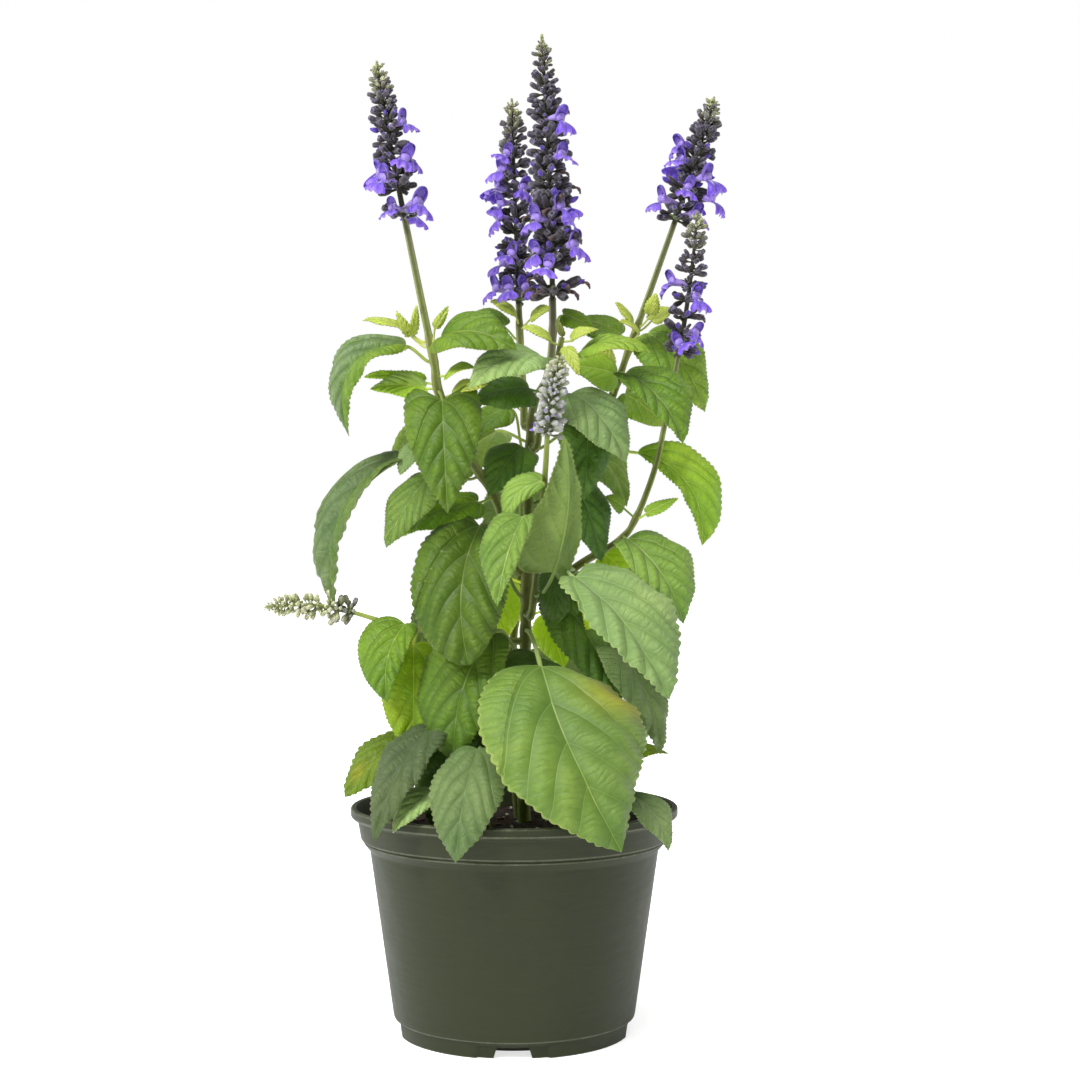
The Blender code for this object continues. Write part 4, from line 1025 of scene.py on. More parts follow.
    def stalk(self, route: Route) -> Patch:
        """The petiole, which runs on under the blade as its midrib, thinner towards the tip.

        The petiole is the cubic (Hermite) curve from the stem's side, along the way out, to the blade's
        base, along the midrib.
        """
        base = np.asarray(self.base, float)
        foot, out = route.side(self.height, base, ROOT)
        s = np.linspace(0, 0.92, self.RIB_STATIONS)
        middle, along, side, normal = self.lie(s)
        start, pull = along[0], self.STALK_PULL * math.dist(base, foot)
        u = np.arange(self.STALK_STATIONS)[:, None] / self.STALK_STATIONS
        petiole = ((2 * u**3 - 3 * u**2 + 1) * foot + (u**3 - 2 * u**2 + u) * pull * out
                   + (3 * u**2 - 2 * u**3) * base + (u**3 - u**2) * pull * start)
        thick = self.STALK_HALF + self.STALK_GROWTH * self.length
        radii = np.concatenate((np.full(len(u), thick), thick * np.maximum(0.8 * (1 - s) ** 0.8, 0.14)))
        groove = 0.4 * self.quilt * self.length / self.FULL
        sunk = (radii + groove - 0.05) * np.concatenate((ease(0.3, 1.0, u[:, 0]), np.ones(len(s))))
        down = np.vstack((np.broadcast_to(normal[0], (len(u), 3)), normal))
        binormal = np.cross(out, start)
        if np.linalg.norm(binormal) < 0.1:
            binormal = side[0]
        binormal = unit(binormal) * (1 if binormal @ side[0] >= 0 else -1)
        share = ease(0, 0.3, s)[:, None]
        reference = np.vstack((np.broadcast_to(binormal, (len(u), 3)), (1 - share) * binormal + share * side))
        patch = tube(np.vstack((petiole, middle)) - down * sunk[:, None], radii, self.STALK_SIDES, reference)
        return patch.with_values(along=0.1, upper=0.5)

    def patch(self, route: Route) -> Patch:
        """The whole leaf."""
        shade = np.clip(self.shade, 0, 1)
        whole = joined((self.blade(), self.stalk(route)))
        return whole.with_values(length=self.length, shade=shade, veins=self.veins)


STEMS = (
    Stem("main", "soil", (
        (6, 5, 94), (5, 4, 130), (5, 3, 170), (6, 4, 214), (7, 5, 259), (8, 6, 300), (10, 6, 342),
        (18, 4, 360), (21, 3, 380), (21, 2, 404)), 4.0, 2.2, flush=0.9),
    Stem("back_left", "main", ((9, 6, 334), (5, 16, 350), (3, 26, 380), (2, 30, 404)), 2.4, 1.9, flush=0.5),
    Stem("left", "main", (
        (7, 5, 255), (-10, -8, 292), (-26, -19, 317), (-40, -25, 348), (-43, -26, 366), (-50, -26, 400),
        (-59, -25, 444)), 2.9, 1.85, flush=0.6),
    Stem("right", "main", (
        (7, 5, 262), (24, 14, 292), (42, 19, 324), (56, 20, 354), (63, 20, 374), (75, 21, 407),
        (90, 20, 449)), 2.6, 1.7, flush=0.6),
    Stem("right_low", "main", (
        (6, 5, 238), (34, 2, 255), (58, 0, 270), (67, 0, 282), (77, 3, 307), (83, 6, 332),
        (91, 8, 372)), 2.1, 1.5, flush=0.35),
    Stem("front", "main", (
        (6, 5, 229), (12, -9, 250), (15, -22, 284), (17, -34, 308), (18, -42, 326)), 2.4, 1.5, fresh=0.6),
    Stem("top", "main", ((9, 6, 322), (16, -6, 346), (22, -14, 362), (26, -18, 380)), 2.3, 1.4),
    Stem("side", "main", (
        (6, 4, 214), (-24, -13, 218), (-58, -25, 223), (-86, -30, 231)), 2.2, 1.2, fresh=0.9),
    Stem("low_left", "soil", (
        (-12, -8, 94), (-17, -16, 125), (-26, -24, 155), (-38, -28, 186)), 2.6, 1.6),
    Stem("low_right", "soil", (
        (24, 4, 94), (34, 2, 125), (44, -2, 160), (50, -4, 206)), 2.6, 1.6),
    Stem("back", "soil", (
        (4, 26, 94), (0, 34, 140), (-2, 40, 200), (4, 44, 260), (10, 46, 330)), 3.4, 1.8),
)

LEAVES = (
    Leaf("left_a", "left", 366, (-58, -30, 375), (-87, -44, 325), 34, (-0.5, -0.7, 0.7), 18, 34, sway=6,
         tone=FRESH, lobe=0.06, shade=0.35, widest=0.33, point=1.3, frost=0.9),
    Leaf("left_b", "left", 350, (-38, -38, 345), (-34, -62, 284), 42, (0, -1, 0.3), 5, 10, quilt=1.3,
         shade=0.29, lobe=0.2, widest=0.24),
    Leaf("left_c", "left", 371, (-39, -33, 379), (2, -50, 370), 38, (0.1, -0.8, 0.7), 8, 14, shade=0.4),
    Leaf("left_d", "left", 328, (-40, 0, 334), (-72, 8, 310), 32, (-0.3, -0.7, 0.8), 6, 8, tone=FRESH,
         shade=0.3),
    Leaf("left_e", "left", 316, (-64, -22, 314), (-96, -36, 236), 44, (-0.9, -0.5, 0.5), 14, 32, sway=5,
         tone=SAGE, quilt=1.1, shade=0.24, wave=0.5, widest=0.42, teeth=1.7, skew=-0.15, frost=0.6),
    Leaf("left_f", "left", 306, (-46, -32, 303), (-67, -46, 266), 28, (-0.4, -0.9, 0.5), 4, 10, tone=SAGE,
         shade=0.38),
    Leaf("left_g", "left", 294, (-20, -16, 291), (-62, -22, 272), 30, (-0.2, -0.6, 0.8), 5, 10, shade=0.85),
    Leaf("back_left_a", "back_left", 384, (-6, 36, 392), (-32, 44, 396), 26, (0, -0.7, 0.7), 4, 8),
    Leaf("top_a", "top", 368, (14, -27, 369), (-24, -48, 350), 34, (-0.2, -0.7, 0.7), 9, 8, tone=DOWNY,
         shade=0.88),
    Leaf("top_b", "top", 350, (8, -14, 353), (-22, -24, 343), 34, (-0.2, -0.8, 0.7), 5, 8, tone=DEEP_SHADED),
    Leaf("top_c", "top", 350, (31, -16, 350), (60, -40, 311), 38, (0.2, -0.8, 0.7), 8, 8, tone=DOWNY),
    Leaf("top_d", "top", 366, (37, -18, 373), (74, -27, 371), 26, (0.1, -0.5, 0.9), 6, 10, tone=FRESH),
    Leaf("right_a", "right", 362, (61, -8, 362), (91, -34, 322), 37, (0.2, -0.7, 0.8), 8, 14, skew=0.3,
         shade=0.47, quilt=1.2, widest=0.36),
    Leaf("right_b", "right", 376, (76, 36, 388), (108, 32, 343), 40, (0.25, -0.9, 0.5), 10, 10, tone=FRESH),
    Leaf("right_c", "right", 380, (60, 28, 387), (30, 34, 392), 28, (0, -0.6, 0.8), 5, 8),
    Leaf("right_d", "right", 322, (70, 30, 320), (106, 22, 267), 27, (0.3, -0.95, 0.3), 12, 24, sway=-8,
         tone=FRESH, shade=0.84, widest=0.45, lobe=0.0, skew=0.5, point=0.9),
    Leaf("right_low_a", "right_low", 272, (62, -12, 271), (91, -30, 225), 42, (0.4, -0.75, 0.65), 8, 12,
         tone=SAGE, quilt=1.0, shade=0.64, skew=0.25, widest=0.36),
    Leaf("right_low_b", "right_low", 254, (33, -42, 251), (81, -72, 188), 52, (0.3, -0.75, 0.65), 9, 18,
         tone=DOWNY, quilt=1.3, shade=0.68, widest=0.38, skew=0.38, teeth=1.4),
    Leaf("main_a", "main", 336, (40, -6, 336), (38, -22, 292), 28, (0.2, -1, 0.3), 4, 8, tone=DEEP_SHADED),
    Leaf("main_b", "main", 308, (4, -8, 321), (-14, -24, 294), 28, (-0.2, -1, 0.4), 4, 8, tone=DEEP_SHADED),
    Leaf("main_c", "main", 318, (-4, 16, 344), (-34, 20, 322), 28, (-0.3, -0.6, 0.8), 4, 8),
    Leaf("main_d", "main", 290, (32, -2, 303), (48, -10, 258), 30, (0.4, -0.9, 0.3), 5, 8, tone=DEEP_SHADED),
    Leaf("main_e", "main", 238, (-18, -34, 278), (-23, -62, 205), 52, (-0.1, -1, 0.4), 8, 8, quilt=1.9,
         shade=0.19, lobe=0.12, sway=6, widest=0.42, point=0.6, skew=-0.06),
    Leaf("main_g", "main", 205, (-12, -38, 220), (-31, -54, 154), 45, (-0.3, -1, 0.4), 7, 8, sway=4,
         quilt=0.5, veins=0.7, shade=0.37, widest=0.42, skew=-0.2, point=0.85),
    Leaf("main_h", "main", 220, (15, -55, 204), (55, -106, 115), 88, (0.2, -0.75, 0.62), 12, 6, 9, tone=SAGE,
         quilt=0.7, wave=1.4, shade=0.45, frost=-0.12, lobe=0.06, widest=0.37, gold=(0.24, -0.92, 0.6),
         skew=0.1, round=0.44, teeth=1.25),
    Leaf("main_i", "main", 194, (14, -20, 206), (-4, -32, 170), 40, (0, -1, 0.4), 4, 8, tone=DEEP_SHADED,
         shade=0.3),
    Leaf("front_a", "front", 240, (21, -38, 253), (27, -49, 325), 38, (-0.5, 0.85, 0), -3, 32, -4, tone=SAGE,
         shade=0.45, widest=0.2, skew=-0.3, veins=0.2, round=0.4, quilt=0.4),
    Leaf("front_b", "front", 276, (5, -50, 282), (-8, -74, 236), 26, (-0.35, -1, 0.3), 6, 26, tone=SAGE,
         shade=0.56, skew=-0.35),
    Leaf("side_a", "side", 223, (-58, -36, 225), (-66, -56, 185), 31, (-0.3, -1, 0.3), 5, 24, shade=0.47,
         sway=3, skew=-0.3, quilt=1.3),
    Leaf("side_b", "side", 222, (-54, -26, 213), (-54, -39, 155), 34, (0.1, -1, 0.3), 6, 8, tone=LIT,
         shade=0.72, gold=(0.6, 0.7, 0.15), quilt=0.4, widest=0.42),
    Leaf("low_left_a", "low_left", 184, (-58, -22, 165), (-90, -36, 133), 26, (-0.3, -0.8, 0.7), 5, 8,
         tone=LIT, shade=0.24, gold=(0.72, 0.2, 0.5), teeth=1.9, widest=0.45),
    Leaf("low_left_b", "low_left", 166, (-45, -45, 170), (-70, -88, 117), 31, (-0.4, -0.8, 0.6), 7, 14,
         tone=DOWNY, shade=0.02, frost=0.15, quilt=0.6),
    Leaf("low_left_c", "low_left", 152, (-18, -64, 161), (-28, -101, 109), 38, (-0.2, -0.9, 0.6), 8, 8,
         tone=DOWNY, shade=0.3, veins=0.5, quilt=0.5, widest=0.4, teeth=1.3),
    Leaf("low_right_a", "low_right", 200, (56, -18, 212), (78, -48, 157), 36, (0.6, -0.7, 0.5), 7, 8,
         tone=DOWNY, shade=0.4),
    Leaf("back_a", "back", 206, (4, 66, 204), (24, 110, 128), 66, (0.1, 0.9, 0.6), 10, 8, quilt=0.8),
    Leaf("back_b", "back", 252, (-22, 58, 252), (-62, 84, 196), 48, (-0.6, 0.6, 0.6), 9, 8, tone=SAGE),
    Leaf("back_c", "back", 246, (32, 60, 250), (74, 84, 200), 48, (0.6, 0.6, 0.6), 9, 8, quilt=1.0),
    Leaf("back_d", "back", 300, (2, 66, 302), (2, 100, 240), 44, (0, 1, 0.5), 8, 8, tone=SAGE),
    Leaf("back_e", "back", 326, (-12, 54, 334), (-44, 74, 292), 36, (-0.5, 0.7, 0.7), 8, 8, tone=FRESH),
    Leaf("back_f", "back", 322, (34, 58, 334), (66, 76, 290), 36, (0.5, 0.7, 0.7), 8, 8),
)

SPRIGS = (
    Leaf("a", "left", 352, (-48, -28, 352), (-77, -30, 351), 18, (-0.1, -0.8, 0.6), 3, tone=FRESH, shade=1.0,
         frost=0.5),
    Leaf("b", "left", 358, (-36, -30, 359), (-20, -38, 362), 13, (0.2, -0.6, 0.8), 2, tone=FRESH, shade=0.8),
    Leaf("c", "left", 374, (-60, -22, 385), (-82, -20, 389), 8, (-0.2, -0.6, 0.8), 3, tone=YOUNG),
    Leaf("d", "left", 375, (-42, -32, 384), (-35, -34, 395), 5, (0.4, -0.8, 0.4), 2, tone=YOUNG),
    Leaf("e", "left", 376, (-56, -24, 381), (-63, -30, 393), 5, (-0.4, -0.8, 0.4), 2, tone=YOUNG),
    Leaf("f", "left", 377, (-55, -24, 382), (-52, -31, 396), 5, (0.3, -0.9, 0.2), 2, tone=YOUNG),
    Leaf("g", "left", 354, (-49, -22, 356), (-81, -24, 358), 10, (-0.1, -0.8, 0.6), 3, tone=FRESH,
         shade=1.0),
    Leaf("h", "left", 320, (-52, -26, 322), (-61, -31, 305), 13, (-0.2, -0.9, 0.4), 2, tone=DOWNY,
         shade=0.6),
    Leaf("i", "left", 346, (-33, -28, 349), (-14, -36, 353), 12, (0.1, -0.7, 0.7), 2, tone=YOUNG),
    Leaf("a", "back_left", 392, (0, 22, 398), (-14, 18, 404), 12, (0, -0.6, 0.8), 2, tone=YOUNG),
    Leaf("b", "back_left", 390, (9, 24, 396), (22, 20, 400), 12, (0, -0.6, 0.8), 2, tone=YOUNG),
    Leaf("a", "top", 376, (20, -24, 378), (4, -28, 384), 10, (0, -0.6, 0.8), 3, tone=YOUNG),
    Leaf("b", "top", 372, (28, -26, 374), (35, -34, 358), 8, (0, -0.9, 0.4), 2, tone=YOUNG),
    Leaf("c", "top", 378, (31, -20, 379), (46, -24, 384), 9, (0, -0.6, 0.8), 3, tone=YOUNG),
    Leaf("d", "top", 379, (26, -19, 381), (24, -21, 390), 5, (-0.7, -0.7, 0), 1, tone=YOUNG, shade=0.0),
    Leaf("a", "front", 300, (15, -38, 301), (-2, -42, 278), 15, (-0.2, -0.9, 0.4), 3, 20, sway=6, tone=SAGE,
         shade=0.74, quilt=0.5, skew=-0.2),
    Leaf("a", "right", 386, (66, 12, 392), (56, 6, 402), 10, (0, -0.6, 0.8), 1, tone=YOUNG),
    Leaf("b", "right", 388, (77, 20, 394), (90, 26, 402), 12, (0, -0.6, 0.8), 1, tone=YOUNG),
    Leaf("c", "right", 344, (62, 16, 352), (84, 18, 334), 26, (0, -0.8, 0.5), 3, tone=FRESH),
    Leaf("d", "right", 382, (69, 10, 387), (58, 2, 391), 10, (0, -0.7, 0.7), 1, tone=YOUNG),
    Leaf("e", "right", 390, (76, 16, 397), (79, 12, 408), 8, (0, -0.9, 0.3), 1, tone=YOUNG),
    Leaf("f", "right", 352, (56, 8, 362), (31, 0, 366), 25, (0.1, -0.9, 0.4), 3, tone=FRESH, shade=0.62),
    Leaf("g", "right", 338, (46, 10, 343), (60, -2, 331), 15, (0.1, -0.8, 0.6), 2, tone=FRESH),
    Leaf("h", "right", 360, (52, 12, 366), (47, 4, 384), 11, (-0.2, -0.9, 0.4), 2, tone=YOUNG, shade=0.45),
    Leaf("a", "right_low", 262, (50, 12, 262), (66, 16, 244), 22, (0.2, -0.8, 0.4), 3, tone=LIT, shade=0.86),
    Leaf("b", "right_low", 282, (60, -6, 288), (50, -10, 294), 10, (-0.2, -0.8, 0.5), 1),
    Leaf("c", "right_low", 282, (73, -4, 285), (90, -8, 293), 7, (0.2, -0.8, 0.5), 1, tone=FRESH, shade=0.8),
    Leaf("d", "right_low", 250, (30, -9, 250), (32, -13, 224), 18, (0.2, -1, 0.3), 3, tone=DEEP_SHADED),
    Leaf("e", "right_low", 258, (43, -12, 246), (46, -15, 210), 22, (0.4, -1, 0.3), 4, tone=LIT, shade=0.86),
    Leaf("a", "back", 224, (20, 24, 228), (28, 20, 198), 26, (-0.4, -1, 0.3), 3, tone=LIT, shade=1.0),
    Leaf("b", "back", 328, (9, 44, 333), (0, 40, 347), 12, (0.7, 0.2, 0.7), 2, tone=YOUNG),
    Leaf("c", "back", 328, (12, 48, 333), (22, 54, 346), 12, (-0.7, -0.3, 0.7), 2, tone=YOUNG),
    Leaf("a", "main", 246, (-8, 22, 246), (-12, 32, 206), 27, (0.2, -1, 0.3), 3, tone=LIT, shade=1.0),
    Leaf("b", "main", 182, (-4, -12, 190), (-13, -44, 122), 38, (-0.2, -1, 0.3), 5, tone=DEEP_SHADED, shade=0.3),
    Leaf("c", "main", 240, (26, -6, 240), (58, -30, 182), 38, (0.3, -1, 0.3), 5, tone=DEEP_SHADED),
    Leaf("d", "main", 252, (20, -16, 254), (23, -27, 226), 17, (0.1, -1, 0.2), 3, tone=DEEP_SHADED, shade=0.15,
         point=0.5, widest=0.5),
    Leaf("e", "main", 386, (27, 13, 396), (45, 19, 385), 18, (0.1, -0.7, 0.7), 3, shade=0.6),
    Leaf("a", "low_left", 138, (-40, -58, 139), (-61, -82, 121), 20, (-0.3, -0.8, 0.6), 5, tone=DOWNY,
         shade=0.85),
    Leaf("b", "low_left", 184, (-39, -28, 188), (-46, -24, 197), 8, (0.6, -0.2, 0.7), 1, tone=YOUNG),
    Leaf("c", "low_left", 184, (-37, -29, 188), (-31, -35, 197), 8, (-0.5, 0.5, 0.7), 1, tone=YOUNG),
    Leaf("d", "low_left", 168, (-35, -34, 172), (-43, -51, 120), 36, (0, -1, 0.3), 4, tone=DEEP_SHADED, shade=0.3),
    Leaf("a", "low_right", 138, (62, -58, 137), (80, -78, 111), 26, (0.5, -0.7, 0.6), 6, tone=DOWNY,
         shade=0.36),
    Leaf("b", "low_right", 148, (66, 8, 150), (86, 10, 151), 12, (0, -0.4, 0.9), 3, tone=LIT),
    Leaf("c", "low_right", 204, (49, -2, 207), (42, -1, 217), 8, (0.7, 0, 0.7), 1, tone=YOUNG),
    Leaf("d", "low_right", 204, (51, -3, 207), (58, -9, 216), 8, (-0.5, 0.5, 0.7), 1, tone=YOUNG),
)


@dataclass(frozen=True)
class Axis:
    """A spike's middle line: a quadratic curve from its foot to its tip, pulled towards a middle point."""

    foot: Array
    middle: Array
    tip: Array

    def place(self, t: Array) -> Array:
        """Points at shares of the height: (1 - t)^2 foot + 2t (1 - t) middle + t^2 tip."""
        t = np.asarray(t, float)[..., None]
        return (1 - t) ** 2 * self.foot + 2 * t * (1 - t) * self.middle + t**2 * self.tip

    def stand(self, t: Array, turn: Array, lean: Array) -> tuple[Array, Array, Array]:
        """How parts stand on the line.

        Args:
            t: Shares of the height.
            turn: Angles about the line.
            lean: Angles away from it.

        Returns:
            The ways out, the ways in which the parts point, and their three axes.
        """
        t = np.asarray(t, float)[..., None]
        along = unit(2 * (1 - t) * (self.middle - self.foot) + 2 * t * (self.tip - self.middle))
        first = across((1.0, 0.2, 0.1), along)
        out = np.cos(turn)[:, None] * first + np.sin(turn)[:, None] * np.cross(along, first)
        way = np.sin(lean)[:, None] * out + np.cos(lean)[:, None] * along
        lift = np.cos(lean)[:, None] * -out + np.sin(lean)[:, None] * along
        return out, way, np.stack((lift, np.cross(way, lift), way), axis=1)


@dataclass(frozen=True)
class Spike:
    """A flower spike on top of a stem: whorls of felted calyces, open flowers and a tip of young scales.

    Whorls stand between first and LAST of the height, first_step apart at the foot and last_step at the
    tip, and a spike with a gap has one more whorl near its foot. Girth is the lowest calyces' length, and
    taper makes the upper ones smaller. Above the share ripe they turn from violet to cream-green, and frost
    turns all of them silver. Open flowers of size bloom and wilted ones are given by the share of the height
    and the turn about the axis in degrees, where 270 faces the camera. Every third open one has a mate on
    the far side, and some buds show their corollas on the side that the camera sees.
    """

    name: str
    stem: str
    tip: Point
    girth: float
    per_whorl: int
    flowers: Pairs = ()
    wilted: Pairs = ()
    ripe: float = 0.9
    first_step: float = 5.8
    last_step: float = 3.5
    first: float = 0.04
    gap: bool = False
    frost: float = 0.0
    taper: float = 0.24
    bloom: float = 14.8
    buds: int = 16

    LAST, GAP_WHORL = 0.95, 0.03
    CORE_RADIUS, CORE_TIP = 1.7, 0.7
    LEAN_LOW, LEAN_TOP, LEAN_SPREAD = 84.0, 62.0, 15.0
    SHORT, SPREAD = 0.7, 0.17
    SCALES, SCALE_TURN, BRACTS = 20, 137.5, 7
    SMALL = 10.0
    RINGS = ((0.0, 0.05), (0.3, 0.06), (0.46, 0.13), (0.68, 0.165),
             (0.9, 0.145), (0.985, 0.105), (1.0, 0.035))
    CALYX_SIDES, CORE_SIDES = 8, 12

    def axis(self, route: Route) -> Axis:
        """The spike's middle line, which leaves the stem's top the way that the stem points."""
        foot, tip = route.path[-1], np.asarray(self.tip, float)
        way = unit(foot - route.path[-3])
        return Axis(foot, foot + 0.5 * np.linalg.norm(tip - foot) * way, tip)

    def club(self) -> Patch:
        """One calyx, one unit long on z: ribbed rings that narrow to its stalk and mouth, bowed upwards."""
        heights, widths = np.array(self.RINGS).T
        path = np.stack((0.10 * heights**2, 0 * heights, heights), axis=-1)
        patch = tube(path, widths, self.CALYX_SIDES, (1.0, 0.0, 0.0), lambda a: 1 + 0.12 * np.cos(4 * a))
        return patch.with_values(reach=patch.values["run"] / patch.values["run"].max(),
                                 rib=0.5 + 0.5 * np.cos(4 * patch.values["angle"]))

    def scale(self) -> Patch:
        """One bract or young scale, one unit long on z: a flat pointed oval, hollow inwards."""
        heights = np.linspace(0, 1, 7)
        widths = 0.04 + 0.26 * np.sin(math.pi * heights**0.8) ** 0.9
        path = np.stack((0.16 * np.sin(math.pi * heights) - 0.1 * heights, 0 * heights, heights), axis=-1)
        patch = tube(path, widths, self.CALYX_SIDES, (1.0, 0.0, 0.0),
                     lambda a: np.hypot(0.35 * np.cos(a), np.sin(a)))
        return patch.with_values(reach=patch.values["run"] / patch.values["run"].max() * 0.8, rib=0.6)

    def calyces(self, axis: Axis, length: float, draw: Draw) -> tuple[Patch, dict]:
        """All calyces of the spike, and what its flowers need to know about them.

        Args:
            axis: The spike's middle line.
            length: Its length.
            draw: The random draw.

        Returns:
            The calyces as one patch, and arrays of each one's rise, way out, foot, way and size.
        """
        steps = self.first_step + self.last_step
        count = max(3, round(2 * length * (self.LAST - self.first) / steps))
        share = np.linspace(0, 1, count)
        bend = (self.first_step - self.last_step) / steps
        rises = self.first + (self.LAST - self.first) * (share * (1 + bend) - bend * share**2)
        if self.gap:
            rises, count = np.concatenate(((self.GAP_WHORL,), rises)), count + 1
        each, total = self.per_whorl, count * self.per_whorl
        t = np.repeat(rises, each) + draw.normal(0, 1.0 / length, total)
        turn = (np.tile(np.arange(each), count) + 0.5 * np.repeat(np.arange(count) % 2, each)
                + draw.normal(0, 0.3, total)) * 2 * math.pi / each
        ages = t + draw.normal(0, 0.05, total)
        rise = np.clip(t, 0, 1)
        thinned = np.maximum(1.04 - self.taper * rise - 0.62 * rise**7, 0.2)
        size = self.girth * thinned * (1 + draw.normal(0, self.SPREAD, total))
        size = size * np.where(np.arange(total) % 3 == 1, self.SHORT, 1.0)
        lean = np.radians(self.LEAN_LOW + (self.LEAN_TOP - self.LEAN_LOW) * rise**2.4
                          + draw.normal(0, self.LEAN_SPREAD, total))
        out, way, axes = axis.stand(t, turn, lean)
        foot = axis.place(t) + out * 0.8
        patch = copies(self.club(), foot, axes, size, youth=ease(self.ripe - 0.17, self.ripe + 0.1, ages),
                       greying=ease(self.ripe - 0.75, self.ripe, ages), tint=draw.uniform(0, 1, total),
                       frost=np.full(total, self.frost))
        return patch, {"rise": t, "out": out, "foot": foot, "way": way, "size": size}

    def flower_places(self, wanted: Pairs, rows: dict, sink: float) -> tuple[Array, Array]:
        """Places and axes of flowers, each at the calyx that lies best towards its rise and turn.

        Args:
            wanted: Rise and turn of each flower.
            rows: The calyces, as calyces() gives them.
            sink: Share of the calyx's size that the flower starts inside its mouth.

        Returns:
            The places, and the axes forwards, sideways and up.
        """
        angles = np.radians([turn for _, turn in wanted])
        facing = np.stack((np.cos(angles), np.sin(angles), 0 * angles), axis=-1)
        rise = np.array([rise for rise, _ in wanted])
        best = np.argmax(facing @ rows["out"].T - 9.0 * np.abs(rise[:, None] - rows["rise"]), axis=1)
        way = rows["way"][best]
        forward = unit(way + 0.9 * facing)
        side = unit(np.cross(UPRIGHT, forward))
        places = rows["foot"][best] + way * (rows["size"][best] * (1 - sink))[:, None]
        return places, np.stack((forward, side, np.cross(forward, side)), axis=1)

    def blooms(self, wanted: Pairs, rows: dict, draw: Draw) -> list[Patch]:
        """Open flowers, of two shapes in turn, each with a size, a roll and a tint of its own.

        Args:
            wanted: Rise and turn of each flower.
            rows: The calyces, as calyces() gives them.
            draw: The random draw.

        Returns:
            The flowers' parts, or nothing where no flower is wanted.
        """
        if not wanted:
            return []
        (places, axes), count = self.flower_places(wanted, rows, 0.16), len(wanted)
        sizes = self.bloom * draw.uniform(0.84, 1.1, (count, 1)) * draw.uniform(0.9, 1.1, (count, 3))
        roll = draw.normal(0, 0.3, (count, 1))
        side, up = axes[:, 1].copy(), axes[:, 2].copy()
        axes[:, 1] = side * np.cos(roll) + up * np.sin(roll)
        axes[:, 2] = up * np.cos(roll) - side * np.sin(roll)
        tint = draw.uniform(0, 1, count)
        shapes = (Corolla(), Corolla(lip_fall=108.0, lip_half=0.5, hood_reach=0.44))
        return [copies(part, places[kind::2], axes[kind::2], sizes[kind::2], tint=tint[kind::2])
                for kind, shape in enumerate(shapes[:count]) for part in shape.parts()]

    def scales(self, axis: Axis, draw: Draw) -> Patch:
        """The pointed young scales that close the tip and lie nearly along the axis."""
        count = self.SCALES
        t = np.linspace(0.93, 0.985, count)
        lean = np.radians(np.linspace(30, 8, count))
        _, _, axes = axis.stand(t, np.arange(count) * math.radians(self.SCALE_TURN), lean)
        size = self.girth * np.linspace(0.34, 0.24, count)
        return copies(self.scale(), axis.place(t), axes, size, youth=np.ones(count), greying=np.ones(count),
                      tint=draw.uniform(0, 0.6, count), frost=np.full(count, self.frost))

    def bracts(self, axis: Axis, draw: Draw) -> Patch:
        """The ring of small green bracts under the lowest whorl: pointed scales that stand off the stem."""
        count = self.BRACTS
        turn = around(count) + draw.normal(0, 0.1, count)
        lean = np.radians(58 + draw.normal(0, 8, count))
        t = np.full(count, 0.012)
        _, _, axes = axis.stand(t, turn, lean)
        return copies(self.scale(), axis.place(t), axes, np.full(count, 0.55 * self.girth),
                      youth=np.full(count, 0.3), greying=np.ones(count), tint=np.zeros(count),
                      leafy=np.ones(count))

    def core(self, t: Array, path: Array) -> Patch:
        """The stem inside the spike, square like the stem below it."""
        radii = self.CORE_RADIUS + (self.CORE_TIP - self.CORE_RADIUS) * t
        patch = tube(path, radii, self.CORE_SIDES, AWAY, lambda a: 1 - 0.09 * np.cos(4 * a))
        youth = ease(self.ripe - 0.05, self.ripe + 0.15, t)
        return patch.with_values(reach=0.3, rib=0.5 - 0.5 * np.cos(4 * patch.values["angle"]), tint=0.5,
                                 youth=np.repeat(youth, self.CORE_SIDES), greying=0.2, frost=0.5 * self.frost)

    def build(self, route: Route, finishes: Finishes) -> None:
        """Makes the spike's calyces and core as one piece, and its corollas as another."""
        draw = np.random.default_rng(sum(map(ord, self.name)))
        axis, t = self.axis(route), np.linspace(0, 0.97, 60)
        path = axis.place(t)
        length = float(np.sum(np.linalg.norm(np.diff(path, axis=0), axis=1)))
        clubs, rows = self.calyces(axis, length, draw)
        node = "spike_" + self.name
        whole = joined((self.core(t, path), clubs, self.scales(axis, draw), self.bracts(axis, draw)))
        make_piece("calyces_" + self.name, whole, finishes.calyx, Slot.CALYX, node)
        parts = self.blooms(self.flowers, rows, draw)
        if self.buds:
            spots = np.stack((draw.uniform(0.03, 0.6, self.buds), draw.uniform(180, 360, self.buds)), axis=-1)
            places, axes = self.flower_places(spots, rows, 0.15)
            sizes = self.SMALL * draw.uniform(0.6, 1.2, self.buds)
            parts.append(copies(Corolla().bud(), places, axes, sizes))
        if self.wilted:
            places, axes = self.flower_places(self.wilted, rows, 0.2)
            sizes = self.SMALL * draw.uniform(0.8, 1.2, len(self.wilted))
            parts.append(copies(Corolla().shred(), places, axes, sizes))
        behind = [(rise + 0.05, 90.0 + 0.35 * (270.0 - turn)) for rise, turn in self.flowers[1::3]]
        parts += self.blooms(behind, rows, draw)
        if parts:
            make_piece("corollas_" + self.name, joined(parts), finishes.petal, Slot.PETAL, node)


